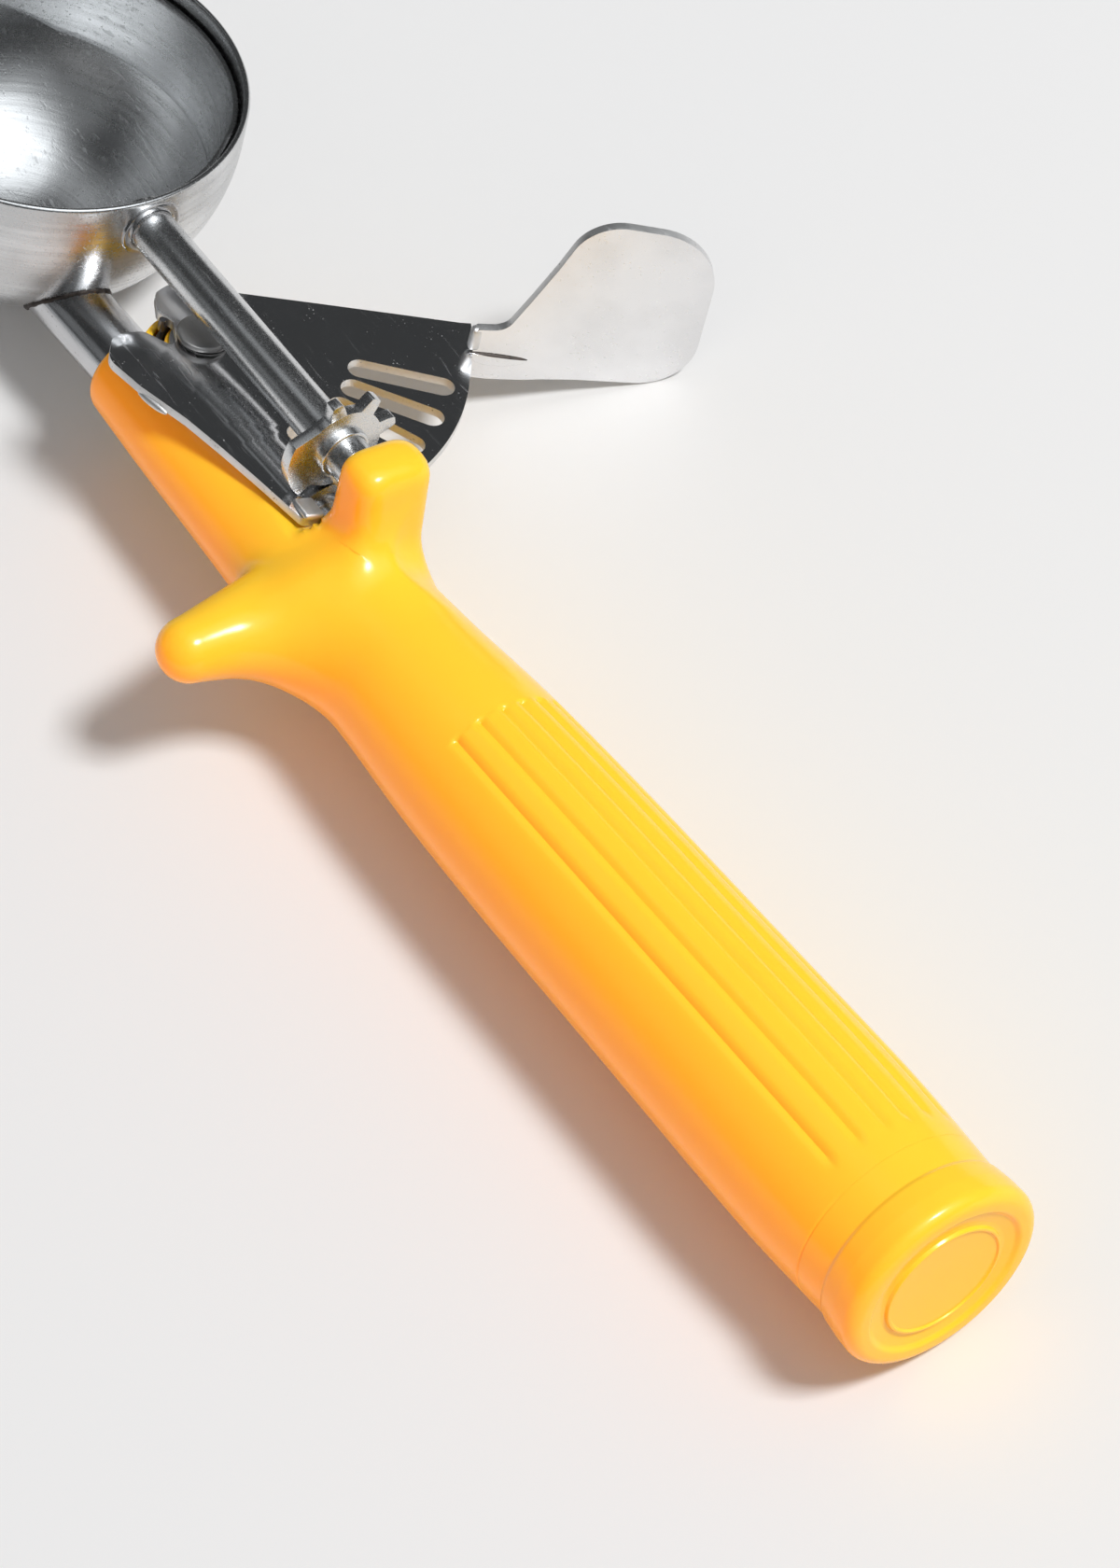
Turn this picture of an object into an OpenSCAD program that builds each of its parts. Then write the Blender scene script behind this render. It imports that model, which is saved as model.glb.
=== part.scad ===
// Lever ice cream scoop: steel bowl, geared sweep and thumb lever on a moulded handle.
// Working frame: middle of the bowl's mouth, +X along the handle, +Z out of the mouth.
// lay_down() then turns the finished scoop over onto its bowl, end cap and thumb pad.
// All sizes in millimetres and degrees.

/* [Bowl] */

// Bowl outside radius
bowl_r = 28; // [26:0.5:30]
// Bowl wall thickness
bowl_wall = 0.95; // [0.8:0.05:1.2]
// Straight band between the rim and the round part
bowl_band = 5.2; // [4.4:0.1:6]

/* [Sweep] */

// Sweep shaft radius
shaft_r = 3.15; // [2.8:0.05:3.3]
// Width of the scraper blade in the middle
blade_width = 12.4; // [9:0.2:13]
// Thickness of the scraper blade
blade_t = 0.7; // [0.5:0.05:0.9]
// Thickness of the pinion sheet
pinion_t = 1.65; // [1.2:0.05:1.8]
// Pinion tooth thickness at the pitch line
tooth_t = 2.2; // [1.8:0.05:2.4]

/* [Lever] */

// Sheet thickness of the lever stamping
sheet_t = 1.3; // [1.1:0.05:1.5]
// Radius of the gear sector's outer arc
sector_r = 35.8; // [35:0.1:36]
// Width of the slots that the pinion meshes with
slot_width = 3.45; // [3.2:0.05:3.6]
// Width of the twisted neck
neck_width = 9.6; // [8:0.2:10.4]

/* [Handle] */

// Radius of the shank rod
rod_r = 4.75; // [4.2:0.05:5]
// Radius of the arm at its tip
arm_r = 7; // [6.6:0.1:7.4]
// Radius of the waist behind the post
waist_r = 10.75; // [10.3:0.1:11.2]
// Radius of the grip where the ribs begin
belly_r = 12.9; // [12.2:0.1:13.6]
// Radius of the grip at the end cap
grip_r = 14.85; // [14.2:0.05:15.4]
// Where the handle ends, from the middle of the mouth
handle_end = 216.5; // [206:0.5:226]
// Length of the end cap outside the grip
cap_length = 11.3; // [9:0.1:13]
// Depth of the grooves between the ribs
groove_depth = 0.4; // [0.2:0.05:0.6]

/* [Hidden] */

$fn = 64;
fit = 0.03;
running = 0.05;

bowl_in = bowl_r - bowl_wall;
axis_z = -bowl_band;

// Sweep: gear geometry. Pitch point lies in the middle of the lever's sheet.
plate_z = axis_z - 7.5 + 0.5;
pitch_r = 7.5;
tip_r = 8.5;
root_r = 6.2;
disc_r = 8.3;
blade_gap = 1.05;
blade_r = bowl_in - blade_gap;
blade_rest = -8;
bush_r = 3.95;
ear_r = 1.5;

// Lever pivot
pivot_x = 43;
plate_mid = plate_z - sheet_t / 2 + 0.65;
plate_top = plate_mid + sheet_t / 2;
plate_bot = plate_mid - sheet_t / 2;
neck_dir = 62;
pad_r = sector_r + 3.4;
pad_far = pad_r + 27.5;
pinion_x = pivot_x + sector_r - 5.65;
hub_r = 3.75;
hub_length = 1.3;
lock_r = 0.4;
lock_x = pinion_x + pinion_t / 2 + 0.65;
stud_r = 1.9;
sleeve_r = 2.5;
core_r = 5.1;
pocket_r = 6.9;
anchor_r = 0.7;

// Handle axis: level with the working frame, turned a little in plan
handle_z = -22.3;
handle_turn = 1.54;
handle_y = -6.27;
tip_s = 35.2;
waist_s = 88;
seam_s = handle_end - cap_length;
post_x = pinion_x + 6.55;
rod_end = seam_s - 80.2;
pin_s = rod_end - 13;
rib_start = waist_s + 33;
rib_length = seam_s - 5.2 - rib_start;

// Decks under the lever
boss_r = 8.0;
boss_top = plate_bot - 1.7;
core_top = plate_bot - 0.75;
pocket_floor = -16.9;
swing_z = plate_bot - 0.45;

// Resting attitude: rolled onto the thumb pad, bowl and end cap on the same level
roll = 21.219;
cap_rise = -sin(roll) * (handle_y + seam_s * sin(handle_turn)) + cos(roll) * (handle_z - axis_z);
tilt = asin((grip_r - bowl_r - cap_rise) / seam_s);

// Outline helpers ----------------------------------------------------------

function unit(v) = v / norm(v);

// Points of one rounded corner p between its neighbours a and b
function corner(p, a, b, r, n) =
    let (u = unit(a - p), v = unit(b - p), half = acos(u * v) / 2,
        c = p + unit(u + v) * (r / sin(half)),
        p0 = p + u * (r / tan(half)), p1 = p + v * (r / tan(half)),
        a0 = atan2(p0[1] - c[1], p0[0] - c[0]), a1 = atan2(p1[1] - c[1], p1[0] - c[0]),
        da = ((a1 - a0 + 540) % 360) - 180)
    [for (i = [0:n]) c + r * [cos(a0 + da * i / n), sin(a0 + da * i / n)]];

// Outline with each corner rounded by its third number
function rounded(q, n = 5) =
    [for (i = [0:len(q) - 1])
        let (m = len(q), p = q[i], a = q[(i + m - 1) % m], b = q[(i + 1) % m])
        each (p[2] < 0.01 ? [[p[0], p[1]]]
            : corner([p[0], p[1]], [a[0], a[1]], [b[0], b[1]], p[2], n))];

module on_handle() {
    translate([0, handle_y, handle_z])
        rotate([0, 0, handle_turn])
            rotate([0, 90, 0])
                children();
}

// Tube or rod along X
module rod_x(r, x0, x1) {
    translate([x0, 0, 0])
        rotate([0, 90, 0])
            cylinder(r = r, h = x1 - x0);
}

// Resting extents, for the origin under the middle
function up(p) = -sin(roll) * p[1] + cos(roll) * p[2];
function side(p) = cos(roll) * p[1] + sin(roll) * p[2];
pad_tip = [pivot_x + pad_far * cos(neck_dir), pad_far * sin(neck_dir), 5];
shift_x = -(handle_end - bowl_r - 1.0) / 2 - 0.2546;
shift_y = -(side(pad_tip) + side([0, -27.2, handle_z]) - 4.5) / 2 + 0.0761;
shift_z = bowl_r - cos(tilt) * up([0, 0, axis_z]);

module lay_down() {
    translate([shift_x, shift_y, shift_z])
        rotate([-roll, -tilt, 0])
            children();
}

// Bowl ---------------------------------------------------------------------

module bowl_body(r, top) {
    intersection() {
        union() {
            translate([0, 0, axis_z])
                sphere(r = r, $fn = 96);
            translate([0, 0, axis_z])
                cylinder(r = r, h = bowl_band, $fn = 96);
        }
        translate([-r - 1, -r - 1, axis_z - r - 1])
            cube([2 * r + 2, 2 * r + 2, r + 1 + bowl_band + top]);
    }
}

module bowl() {
    color("#c9ccd0")
        lay_down()
            difference() {
                bowl_body(bowl_r, 0);
                translate([0, 0, axis_z])
                    sphere(r = bowl_in, $fn = 96);
                translate([0, 0, axis_z])
                    cylinder(r = bowl_in, h = bowl_band + 1, $fn = 96);
                translate([0, 0, axis_z])
                    rod_x(bush_r, bowl_in - 3, bowl_r + 1);
                translate([0, 0, axis_z])
                    rod_x(ear_r + fit, -bowl_r - 1, -bowl_in + 1);
            }
}

module shaft_bush() {
    color("#a9adb2")
        lay_down()
            difference() {
                union() {
                    difference() {
                        translate([0, 0, axis_z])
                            rod_x(bush_r + 0.85, bowl_r - 1, bowl_r + 1.3);
                        bowl_body(bowl_r + fit, 1);
                    }
                    translate([0, 0, axis_z])
                        rod_x(bush_r - fit, bowl_in - 0.55, bowl_r + 1);
                }
                translate([0, 0, axis_z])
                    rod_x(shaft_r + running, bowl_in - 2, bowl_r + 3);
            }
}

module front_pivot_pin() {
    color("#8f9398")
        lay_down()
            translate([0, 0, axis_z]) {
                difference() {
                    rod_x(ear_r + 1.1, -bowl_r - 1, -bowl_r + 0.4);
                    sphere(r = bowl_r + fit, $fn = 96);
                    cylinder(r = bowl_r + fit, h = bowl_band, $fn = 96);
                }
                rod_x(ear_r, -bowl_r - 0.5, -blade_r + blade_t + 0.5);
                rod_x(ear_r + 0.8, -blade_r + blade_t + 0.2, -blade_r + blade_t + 0.9);
            }
}

module front_pivot_washer() {
    color("#b5b8bc")
        lay_down()
            translate([0, 0, axis_z])
                difference() {
                    rod_x(ear_r + 1.1, -bowl_in + 0.18, -blade_r - 0.12);
                    rod_x(ear_r + fit, -bowl_r, -blade_r + 1);
                }
}

// Shank --------------------------------------------------------------------

module shank_rod() {
    color("#b9bcc1")
        lay_down()
            difference() {
                on_handle()
                    translate([0, 0, 10])
                        cylinder(r = rod_r, h = rod_end - 10);
                translate([0, 0, axis_z])
                    sphere(r = bowl_r + fit, $fn = 96);
                translate([pivot_x, 0, handle_z - 3.5])
                    cylinder(r = stud_r + 0.4, h = 12);
                on_handle()
                    translate([0, 0, pin_s])
                        rotate([90, 0, 0])
                            cylinder(r = ear_r + fit, h = 40, center = true);
            }
}

module shank_weld() {
    color("#6b5f57")
        lay_down()
            difference() {
                intersection() {
                    on_handle()
                        translate([0, 0, 12])
                            cylinder(r = rod_r + 0.9, h = 16);
                    translate([0, 0, axis_z])
                        sphere(r = bowl_r + 1.0, $fn = 96);
                }
                translate([0, 0, axis_z])
                    sphere(r = bowl_r + fit, $fn = 96);
                on_handle()
                    cylinder(r = rod_r + fit, h = 40);
            }
}

// Handle -------------------------------------------------------------------

function arm_at(u) = tip_s + u * (waist_s - tip_s);
function grip_at(u) = waist_s + u * (seam_s - waist_s);
function grip_profile() = [
    [0, tip_s], [arm_r - 1.6, tip_s], [arm_r - 0.7, tip_s + 0.5], [arm_r - 0.05, tip_s + 1.6],
    [arm_r + 0.3, arm_at(0.129)], [arm_r + 0.8, arm_at(0.242)], [arm_r + 1.5, arm_at(0.47)],
    [arm_r + 2.3, arm_at(0.697)], [waist_r - 0.7, arm_at(0.8485)], [waist_r - 0.05, grip_at(0.017)],
    [waist_r + 0.55, grip_at(0.12)], [belly_r - 0.45, grip_at(0.222)],
    [belly_r + 0.1, grip_at(0.324)], [belly_r + 0.5, grip_at(0.427)],
    [grip_r - 1.0, grip_at(0.631)], [grip_r - 0.45, grip_at(0.836)], [grip_r, seam_s - 0.3],
    [0, seam_s - 0.3]];

module post_solid() {
    intersection() {
        translate([0, 0, -24])
            linear_extrude(height = 30)
                polygon(rounded([[post_x - 0.4, -5.9, 3], [post_x + 9.2, -5.9, 3],
                    [post_x + 9.2, 5.9, 3], [post_x - 0.4, 5.9, 3]]));
        translate([0, 12, 0])
            rotate([90, 0, 0])
                linear_extrude(height = 24)
                    polygon(rounded([[post_x, -23, 0], [post_x + 8.6, -23, 0],
                        [post_x + 8.3, -15, 0], [post_x + 6.9, -1.8, 0],
                        [post_x + 6.6, 1.9, 2.2], [post_x, 1.9, 1.8]]));
        translate([post_x - 9.7, 0, 0])
            rotate([90, 0, 90])
                linear_extrude(height = 30)
                    polygon(rounded([[-5.3, -22, 0], [5.3, -22, 0], [5.2, -5, 0],
                        [5.1, 1.8, 3.4], [-5.1, 1.8, 3.4], [-5.2, -5, 0]]));
    }
}

// Finger rest: a short horn with a round end, turned along -Y
module horn_solid() {
    translate([post_x + 4.5, 0, handle_z])
        rotate([90, 0, 0]) {
            rotate_extrude()
                polygon([[0, 4], [9.8, 4], [9.8, 12], [9.3, 14], [8.2, 16.2], [7.1, 18.4],
                    [6.0, 21], [5.1, 24], [4.5, 27.2], [0, 27.2]]);
            translate([0, 0, 27.2])
                sphere(r = 4.5);
        }
}

module rib_groove(angle) {
    on_handle()
        rotate([0, 0, angle])
            translate([0, belly_r + 0.9 - groove_depth, rib_start])
                rotate([-atan((grip_r - belly_r - 0.4) / (rib_length - 1)), 0, 0]) {
                    cylinder(r = 0.95, h = rib_length);
                    sphere(r = 0.95);
                    translate([0, 0, rib_length])
                        sphere(r = 0.95);
                }
}

module grip() {
    color("#ffc61e")
        lay_down()
            difference() {
                union() {
                    on_handle()
                        rotate_extrude($fn = 96)
                            polygon(grip_profile());
                    translate([pivot_x, 0, handle_z])
                        cylinder(r = boss_r, h = boss_top - handle_z);
                    translate([pivot_x, 0, handle_z])
                        cylinder(r = core_r, h = core_top - handle_z);
                    difference() {
                        post_solid();
                        translate([0, 0, axis_z])
                            rod_x(bush_r, post_x - 9.7, post_x + 6);
                    }
                    horn_solid();
                }
                // swing of the lever plate, down to just under the sheet
                translate([pivot_x, 0, swing_z])
                    difference() {
                        cylinder(r = sector_r + 0.6, h = 12, $fn = 96);
                        translate([0, 0, -1])
                            cylinder(r = core_r, h = core_top - swing_z + 1);
                    }
                // tips of the pinion
                translate([pinion_x - pinion_t / 2 - 0.7, -9.5, axis_z - tip_r - 0.4])
                    cube([pinion_t + 1.4, 19, 8]);
                // spring pocket
                translate([pivot_x, 0, pocket_floor])
                    difference() {
                        cylinder(r = pocket_r, h = 12);
                        translate([0, 0, -1])
                            cylinder(r = core_r, h = core_top - pocket_floor + 1);
                    }
                // stud
                translate([pivot_x, 0, handle_z - 3.5])
                    cylinder(r = stud_r + fit, h = 20);
                // rod, its cross pin and the hollow behind it
                on_handle() {
                    translate([0, 0, 20])
                        cylinder(r = rod_r + fit, h = rod_end - 20 + 0.2);
                    translate([0, 0, pin_s])
                        rotate([90, 0, 0])
                            cylinder(r = ear_r + fit, h = 17, center = true);
                    translate([0, 0, rod_end + 4])
                        cylinder(r = 10.4, h = handle_end);
                }
                // spring anchor
                translate([pivot_x + coil_r * cos(150), coil_r * sin(150), pocket_floor - 4])
                    cylinder(r = anchor_r + fit, h = 8);
                for (a = [129, 111, 94, 80, 66, 50])
                    rib_groove(a);
            }
}

module end_cap() {
    color("#ffc61e")
        lay_down()
            on_handle()
                rotate_extrude($fn = 96)
                    polygon(rounded([[0, seam_s - 7, 0], [10.37, seam_s - 7, 0.6],
                        [10.37, seam_s, 0], [grip_r - 0.05, seam_s, 0.35],
                        [grip_r, handle_end, 2.1], [9.4, handle_end, 0.4],
                        [8.5, handle_end - 0.85, 0.2], [0, handle_end - 0.85, 0]]));
}

module post_bush() {
    color("#8d9196")
        lay_down()
            translate([0, 0, axis_z])
                difference() {
                    rod_x(bush_r - fit, post_x + 0.4, post_x + 5.9);
                    rod_x(shaft_r + running, post_x - 1, post_x + 8);
                }
}

module rod_pin() {
    color("#9a9da1")
        lay_down()
            on_handle()
                translate([0, 0, pin_s])
                    rotate([90, 0, 0])
                        cylinder(r = ear_r, h = 16, center = true);
}

// Lever pivot --------------------------------------------------------------

module pivot_rivet() {
    color("#5d6064")
        lay_down()
            translate([pivot_x, 0, 0]) {
                translate([0, 0, plate_top + 0.85])
                    rotate_extrude()
                        polygon(rounded([[0, 0, 0], [stud_r + 1.4, 0, 0.2], [stud_r + 1.4, 1.35, 0.5],
                            [0, 1.45, 0]]));
                translate([0, 0, handle_z - 3.2])
                    cylinder(r = stud_r, h = plate_top + 1.2 - handle_z + 3.2);
            }
}

module rivet_washer() {
    color("#4e5155")
        lay_down()
            translate([pivot_x, 0, plate_top + 0.15])
                difference() {
                    cylinder(r = stud_r + 1.1, h = 0.65);
                    translate([0, 0, -1])
                        cylinder(r = stud_r + fit, h = 3);
                }
}

module pivot_sleeve() {
    color("#9fa2a6")
        lay_down()
            translate([pivot_x, 0, core_top + 0.02])
                difference() {
                    cylinder(r = sleeve_r, h = plate_top + 0.12 - core_top - 0.02);
                    translate([0, 0, -1])
                        cylinder(r = stud_r + fit, h = 6);
                }
}

module thrust_washer() {
    color("#a7aaae")
        lay_down()
            translate([pivot_x, 0, core_top + 0.02])
                difference() {
                    cylinder(r = core_r - 0.5, h = plate_bot - core_top - 0.12);
                    translate([0, 0, -1])
                        cylinder(r = sleeve_r + fit, h = 4);
                }
}

module spring_anchor_pin() {
    color("#85888c")
        lay_down()
            translate([pivot_x + coil_r * cos(150), coil_r * sin(150), pocket_floor - 3.8])
                cylinder(r = anchor_r, h = 3.6);
}

// Torsion spring: a round wire wound around the pivot, with both ends turned
wire_r = 0.5;
coil_r = 6.0;
coil_n = 2.17;
coil_low = pocket_floor + wire_r + 0.3;
coil_high = plate_bot - wire_r - 0.25;
function coil_point(t) = [coil_r * cos(150 + 360 * coil_n * t), coil_r * sin(150 + 360 * coil_n * t),
    coil_low + (coil_high - coil_low) * t];
spring_path = concat(
    [for (i = [0:52]) coil_point(i / 52)],
    [coil_point(1) + [0.3, -0.45, 0.35], coil_point(1) + [0.42, -0.62, 1.1],
        coil_point(1) + [0.42, -0.62, 2.2]]);

function frame_at(path, i) =
    let (a = path[max(i - 1, 0)], b = path[min(i + 1, len(path) - 1)], d = unit(b - a),
        k = abs(d[2]) > 0.8 ? [0.5, -0.866, 0] : [0, 0, 1], u = unit(cross(k, d)), v = cross(d, u))
    [u, v];

module wire(path, r, sides = 12) {
    n = len(path);
    points = [for (i = [0:n - 1]) let (f = frame_at(path, i)) for (k = [0:sides - 1])
        path[i] + r * (cos(360 * k / sides) * f[0] + sin(360 * k / sides) * f[1])];
    faces = concat(
        [[for (k = [0:sides - 1]) k]],
        [[for (k = [sides - 1:-1:0]) (n - 1) * sides + k]],
        [for (i = [0:n - 2]) for (k = [0:sides - 1])
            [i * sides + k, (i + 1) * sides + k, (i + 1) * sides + (k + 1) % sides,
                i * sides + (k + 1) % sides]]);
    polyhedron(points = points, faces = faces, convexity = 8);
}

module return_spring() {
    color("#3f4246")
        lay_down()
            translate([pivot_x, 0, 0])
                wire(spring_path, wire_r);
}

// Lever --------------------------------------------------------------------

// Outline of the flat part, about the pivot
function plate_outline() = concat(
    [for (a = [-8:3:70]) sector_r * [cos(a), sin(a)]],
    rounded([[12.0, sector_r - 2.2, 0], [6.7, sector_r - 9.9, 0], [1.7, sector_r - 17.2, 0],
        [-4.0, 10.2, 0], [-10.3, 1.0, 1.5],
        [-9.6, -1.8, 1.5], [-6.2, -3.6, 1.2], [-3.8, -2.6, 1.0], [1.0, -4.75, 1.0],
        [-4.0, -7.4, 2], [-5.0, -11.6, 2.4], [-1.2, -14.6, 3], [5.0, -13.5, 2], [12.7, -11.2, 0],
        [sector_r - 16.5, -9.6, 0], [sector_r - 9.7, -8.2, 0], [sector_r - 2.6, -6.9, 0]]));

slot_in = 0.542 * sector_r;
slot_out = sector_r - 1.8;

module slot(angle) {
    rotate(angle) {
        translate([slot_in + slot_width / 2, -slot_width / 2])
            square([slot_out - slot_in - slot_width, slot_width]);
        translate([slot_in + slot_width / 2, 0])
            circle(r = slot_width / 2);
        translate([slot_out - slot_width / 2, 0])
            circle(r = slot_width / 2);
    }
}

// Thumb pad outline: distance from the pivot, height in the working frame
function pad_outline() = rounded([[pad_r, plate_mid - neck_width / 2 + 0.05, 0],
    [pad_r + 2.2, plate_mid - 3.95, 0], [pad_r + 6.9, plate_mid - 3.3, 0],
    [pad_r + 11.7, plate_mid - 3.18, 0], [pad_r + 27.3, plate_mid - 3.15, 7.4],
    [pad_r + 27.6, plate_mid + 22.65, 9.9], [pad_r + 9.26, plate_mid + 25.03, 6.5],
    [pad_r + 3.63, plate_mid + 10.9, 0], [pad_r + 1.3, plate_mid + neck_width / 2 + 0.9, 0],
    [pad_r, plate_mid + neck_width / 2 + 0.1, 0]], 8);

neck_path = [[sector_r - 1.2, 0], [sector_r + 0.1, 0], [sector_r + 0.6, 18], [sector_r + 1.1, 40],
    [sector_r + 1.7, 62], [sector_r + 2.4, 80], [sector_r + 3.1, 90], [sector_r + 4.4, 90]];

// Half twisted strip between the flat sector and the standing pad
module neck() {
    m = len(neck_path);
    points = [for (i = [0:m - 1]) let (a = neck_path[i][1], r = neck_path[i][0]) each [
        [r, cos(a) * neck_width / 2 + sin(a) * sheet_t / 2,
            sin(a) * neck_width / 2 - cos(a) * sheet_t / 2],
        [r, cos(a) * neck_width / 2 - sin(a) * sheet_t / 2,
            sin(a) * neck_width / 2 + cos(a) * sheet_t / 2],
        [r, -cos(a) * neck_width / 2 - sin(a) * sheet_t / 2,
            -sin(a) * neck_width / 2 + cos(a) * sheet_t / 2],
        [r, -cos(a) * neck_width / 2 + sin(a) * sheet_t / 2,
            -sin(a) * neck_width / 2 - cos(a) * sheet_t / 2]]];
    faces = concat([[0, 1, 2, 3]], [[(m - 1) * 4 + 3, (m - 1) * 4 + 2, (m - 1) * 4 + 1, (m - 1) * 4]],
        [for (i = [0:m - 2]) for (k = [0:3])
            each [[i * 4 + k, (i + 1) * 4 + k, (i + 1) * 4 + (k + 1) % 4],
                [i * 4 + k, (i + 1) * 4 + (k + 1) % 4, i * 4 + (k + 1) % 4]]]);
    polyhedron(points = points, faces = faces, convexity = 4);
}

module lever_plate() {
    color("#c6c9cd")
        lay_down()
            translate([pivot_x, 0, 0]) {
                translate([0, 0, plate_bot])
                    linear_extrude(height = sheet_t)
                        difference() {
                            polygon(plate_outline());
                            circle(r = sleeve_r + running);
                            for (k = [0:4])
                                slot(3.5 + 11.25 * k);
                        }
                rotate([0, 0, neck_dir]) {
                    translate([0, 0, plate_mid])
                        neck();
                    translate([0, sheet_t / 2, 0])
                        rotate([90, 0, 0])
                            linear_extrude(height = sheet_t)
                                polygon(pad_outline());
                }
                // turned up lip at the rear corner
                rotate([0, 0, -9.5])
                    translate([sector_r - 4.2, -1.05, plate_mid])
                        cube([4.0, 1.0, sheet_t / 2 + 1.3]);
                // turned down lug on the left edge
                translate([5.2, -13.3, plate_bot - 1.3])
                    cube([3.6, 1.0, 1.3 + sheet_t / 2]);
            }
}

// Sweep --------------------------------------------------------------------

module sweep_shaft() {
    color("#d3d5d8")
        lay_down()
            difference() {
                translate([0, 0, axis_z]) {
                    rod_x(shaft_r, blade_r + 0.04, post_x + 5.6);
                    rod_x(2.0, blade_r - blade_t - 0.6, blade_r + 1);
                    rod_x(2.6, blade_r - blade_t - 0.95, blade_r - blade_t - 0.15);
                }
                translate([lock_x, 0, axis_z])
                    cylinder(r = lock_r + fit, h = 12, center = true);
            }
}

tooth_angles = [104, 59, 14, -31, -76];
sector_from = 159;
// its other end stops just above the lever's sheet
sector_to = 180 + asin((axis_z - plate_top - 0.12) / disc_r);

// Sheet pinion: five teeth over half of it, a plain disc over the rest
module pinion_outline() {
    circle(r = root_r);
    intersection() {
        circle(r = disc_r);
        polygon([[0, 0], [14 * cos(sector_from), 14 * sin(sector_from)], [-16, 0],
            [14 * cos(sector_to), 14 * sin(sector_to)]]);
    }
    for (a = tooth_angles)
        rotate(a)
            polygon(rounded([[5, -tooth_t * 0.62, 0], [pitch_r, -tooth_t / 2, 0],
                [tip_r, -tooth_t * 0.36, 0.35], [tip_r, tooth_t * 0.36, 0.35],
                [pitch_r, tooth_t / 2, 0], [5, tooth_t * 0.62, 0]], 3));
}

module pinion() {
    color("#c2c5c9")
        lay_down()
            translate([0, 0, axis_z])
                difference() {
                    union() {
                        translate([pinion_x - pinion_t / 2, 0, 0])
                            rotate([90, 0, 90])
                                linear_extrude(height = pinion_t)
                                    pinion_outline();
                        rod_x(hub_r, pinion_x, pinion_x + pinion_t / 2 + hub_length);
                    }
                    rod_x(shaft_r + fit, pinion_x - 5, pinion_x + 9);
                    translate([lock_x, 0, 0])
                        cylinder(r = lock_r + fit, h = 12, center = true);
                }
}

module pinion_pin() {
    color("#7d8085")
        lay_down()
            translate([lock_x, 0, axis_z])
                cylinder(r = lock_r, h = 2 * hub_r - 0.2, center = true);
}

module blade_shell() {
    rotate([90, 0, 0])
        difference() {
            cylinder(r = blade_r, h = 20, center = true, $fn = 96);
            cylinder(r = blade_r - blade_t, h = 22, center = true, $fn = 96);
        }
}

// Curved strip that scrapes the bowl: built with its middle straight down
module scraper_blade() {
    color("#c4c7cb")
        lay_down()
            translate([0, 0, axis_z])
                rotate([90 + blade_rest, 0, 0])
                    difference() {
                        union() {
                            intersection() {
                                blade_shell();
                                translate([0, 0, -40])
                                    linear_extrude(height = 38)
                                        polygon([[-30, -3], [-25, -3.4], [-19, -blade_width / 2],
                                            [19, -blade_width / 2], [25, -3.4], [30, -3],
                                            [30, 3], [25, 3.4], [19, blade_width / 2],
                                            [-19, blade_width / 2], [-25, 3.4], [-30, 3]]);
                            }
                            intersection() {
                                blade_shell();
                                rod_x(3.6, -30, 30);
                            }
                        }
                        rod_x(ear_r + running, -40, 0);
                        rod_x(2.0 + fit, 0, 40);
                    }
}

bowl();
shaft_bush();
front_pivot_pin();
front_pivot_washer();
shank_rod();
shank_weld();
grip();
end_cap();
post_bush();
pivot_rivet();
rivet_washer();
pivot_sleeve();
thrust_washer();
rod_pin();
spring_anchor_pin();
return_spring();
lever_plate();
sweep_shaft();
pinion();
pinion_pin();
scraper_blade();
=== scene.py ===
"""Lever ice cream scoop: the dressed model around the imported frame.

Pieces are shaped in the scoop's own working frame, in millimetres: origin in the middle of the
bowl's mouth, +X along the handle, +Z out of the mouth. LayDown then sets each one down as the
scoop lies on its bowl, end cap and thumb pad, in metres, with its place in its mesh.
"""

import logging
import math
from dataclasses import dataclass, field
from enum import Enum
from typing import Callable, Optional, Sequence

import bpy
import numpy as np
from mathutils import Matrix, Vector


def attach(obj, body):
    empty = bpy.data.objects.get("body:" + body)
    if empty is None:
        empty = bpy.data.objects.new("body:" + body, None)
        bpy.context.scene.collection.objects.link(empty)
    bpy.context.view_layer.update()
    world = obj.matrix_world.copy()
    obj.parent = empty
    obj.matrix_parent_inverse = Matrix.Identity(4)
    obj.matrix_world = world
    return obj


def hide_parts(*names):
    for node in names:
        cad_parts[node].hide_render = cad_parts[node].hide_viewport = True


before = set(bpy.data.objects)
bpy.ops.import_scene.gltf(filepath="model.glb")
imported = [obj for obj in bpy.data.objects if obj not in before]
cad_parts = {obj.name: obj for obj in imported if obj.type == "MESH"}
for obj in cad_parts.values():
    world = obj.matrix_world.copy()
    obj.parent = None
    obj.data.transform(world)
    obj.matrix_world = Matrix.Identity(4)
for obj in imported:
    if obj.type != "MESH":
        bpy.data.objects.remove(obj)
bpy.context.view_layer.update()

LOG = logging.getLogger("scoop")
Point = Sequence[float]
Piece = bpy.types.Object
Socket = bpy.types.NodeSocket
Tree = bpy.types.NodeTree


# ------------------------------------------------------------ layout


def at(x: float, y: float, z: float) -> Matrix:
    """Matrix that moves by x, y and z."""
    return Matrix.Translation((x, y, z))


def turn_by(degrees: float, axis: str) -> Matrix:
    """Matrix that turns about an axis of the frame."""
    return Matrix.Rotation(math.radians(degrees), 4, axis)


def polar(radius: float, degrees: float) -> tuple:
    """The flat point at a radius and an angle in degrees."""
    a = math.radians(degrees)
    return radius * math.cos(a), radius * math.sin(a)


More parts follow.
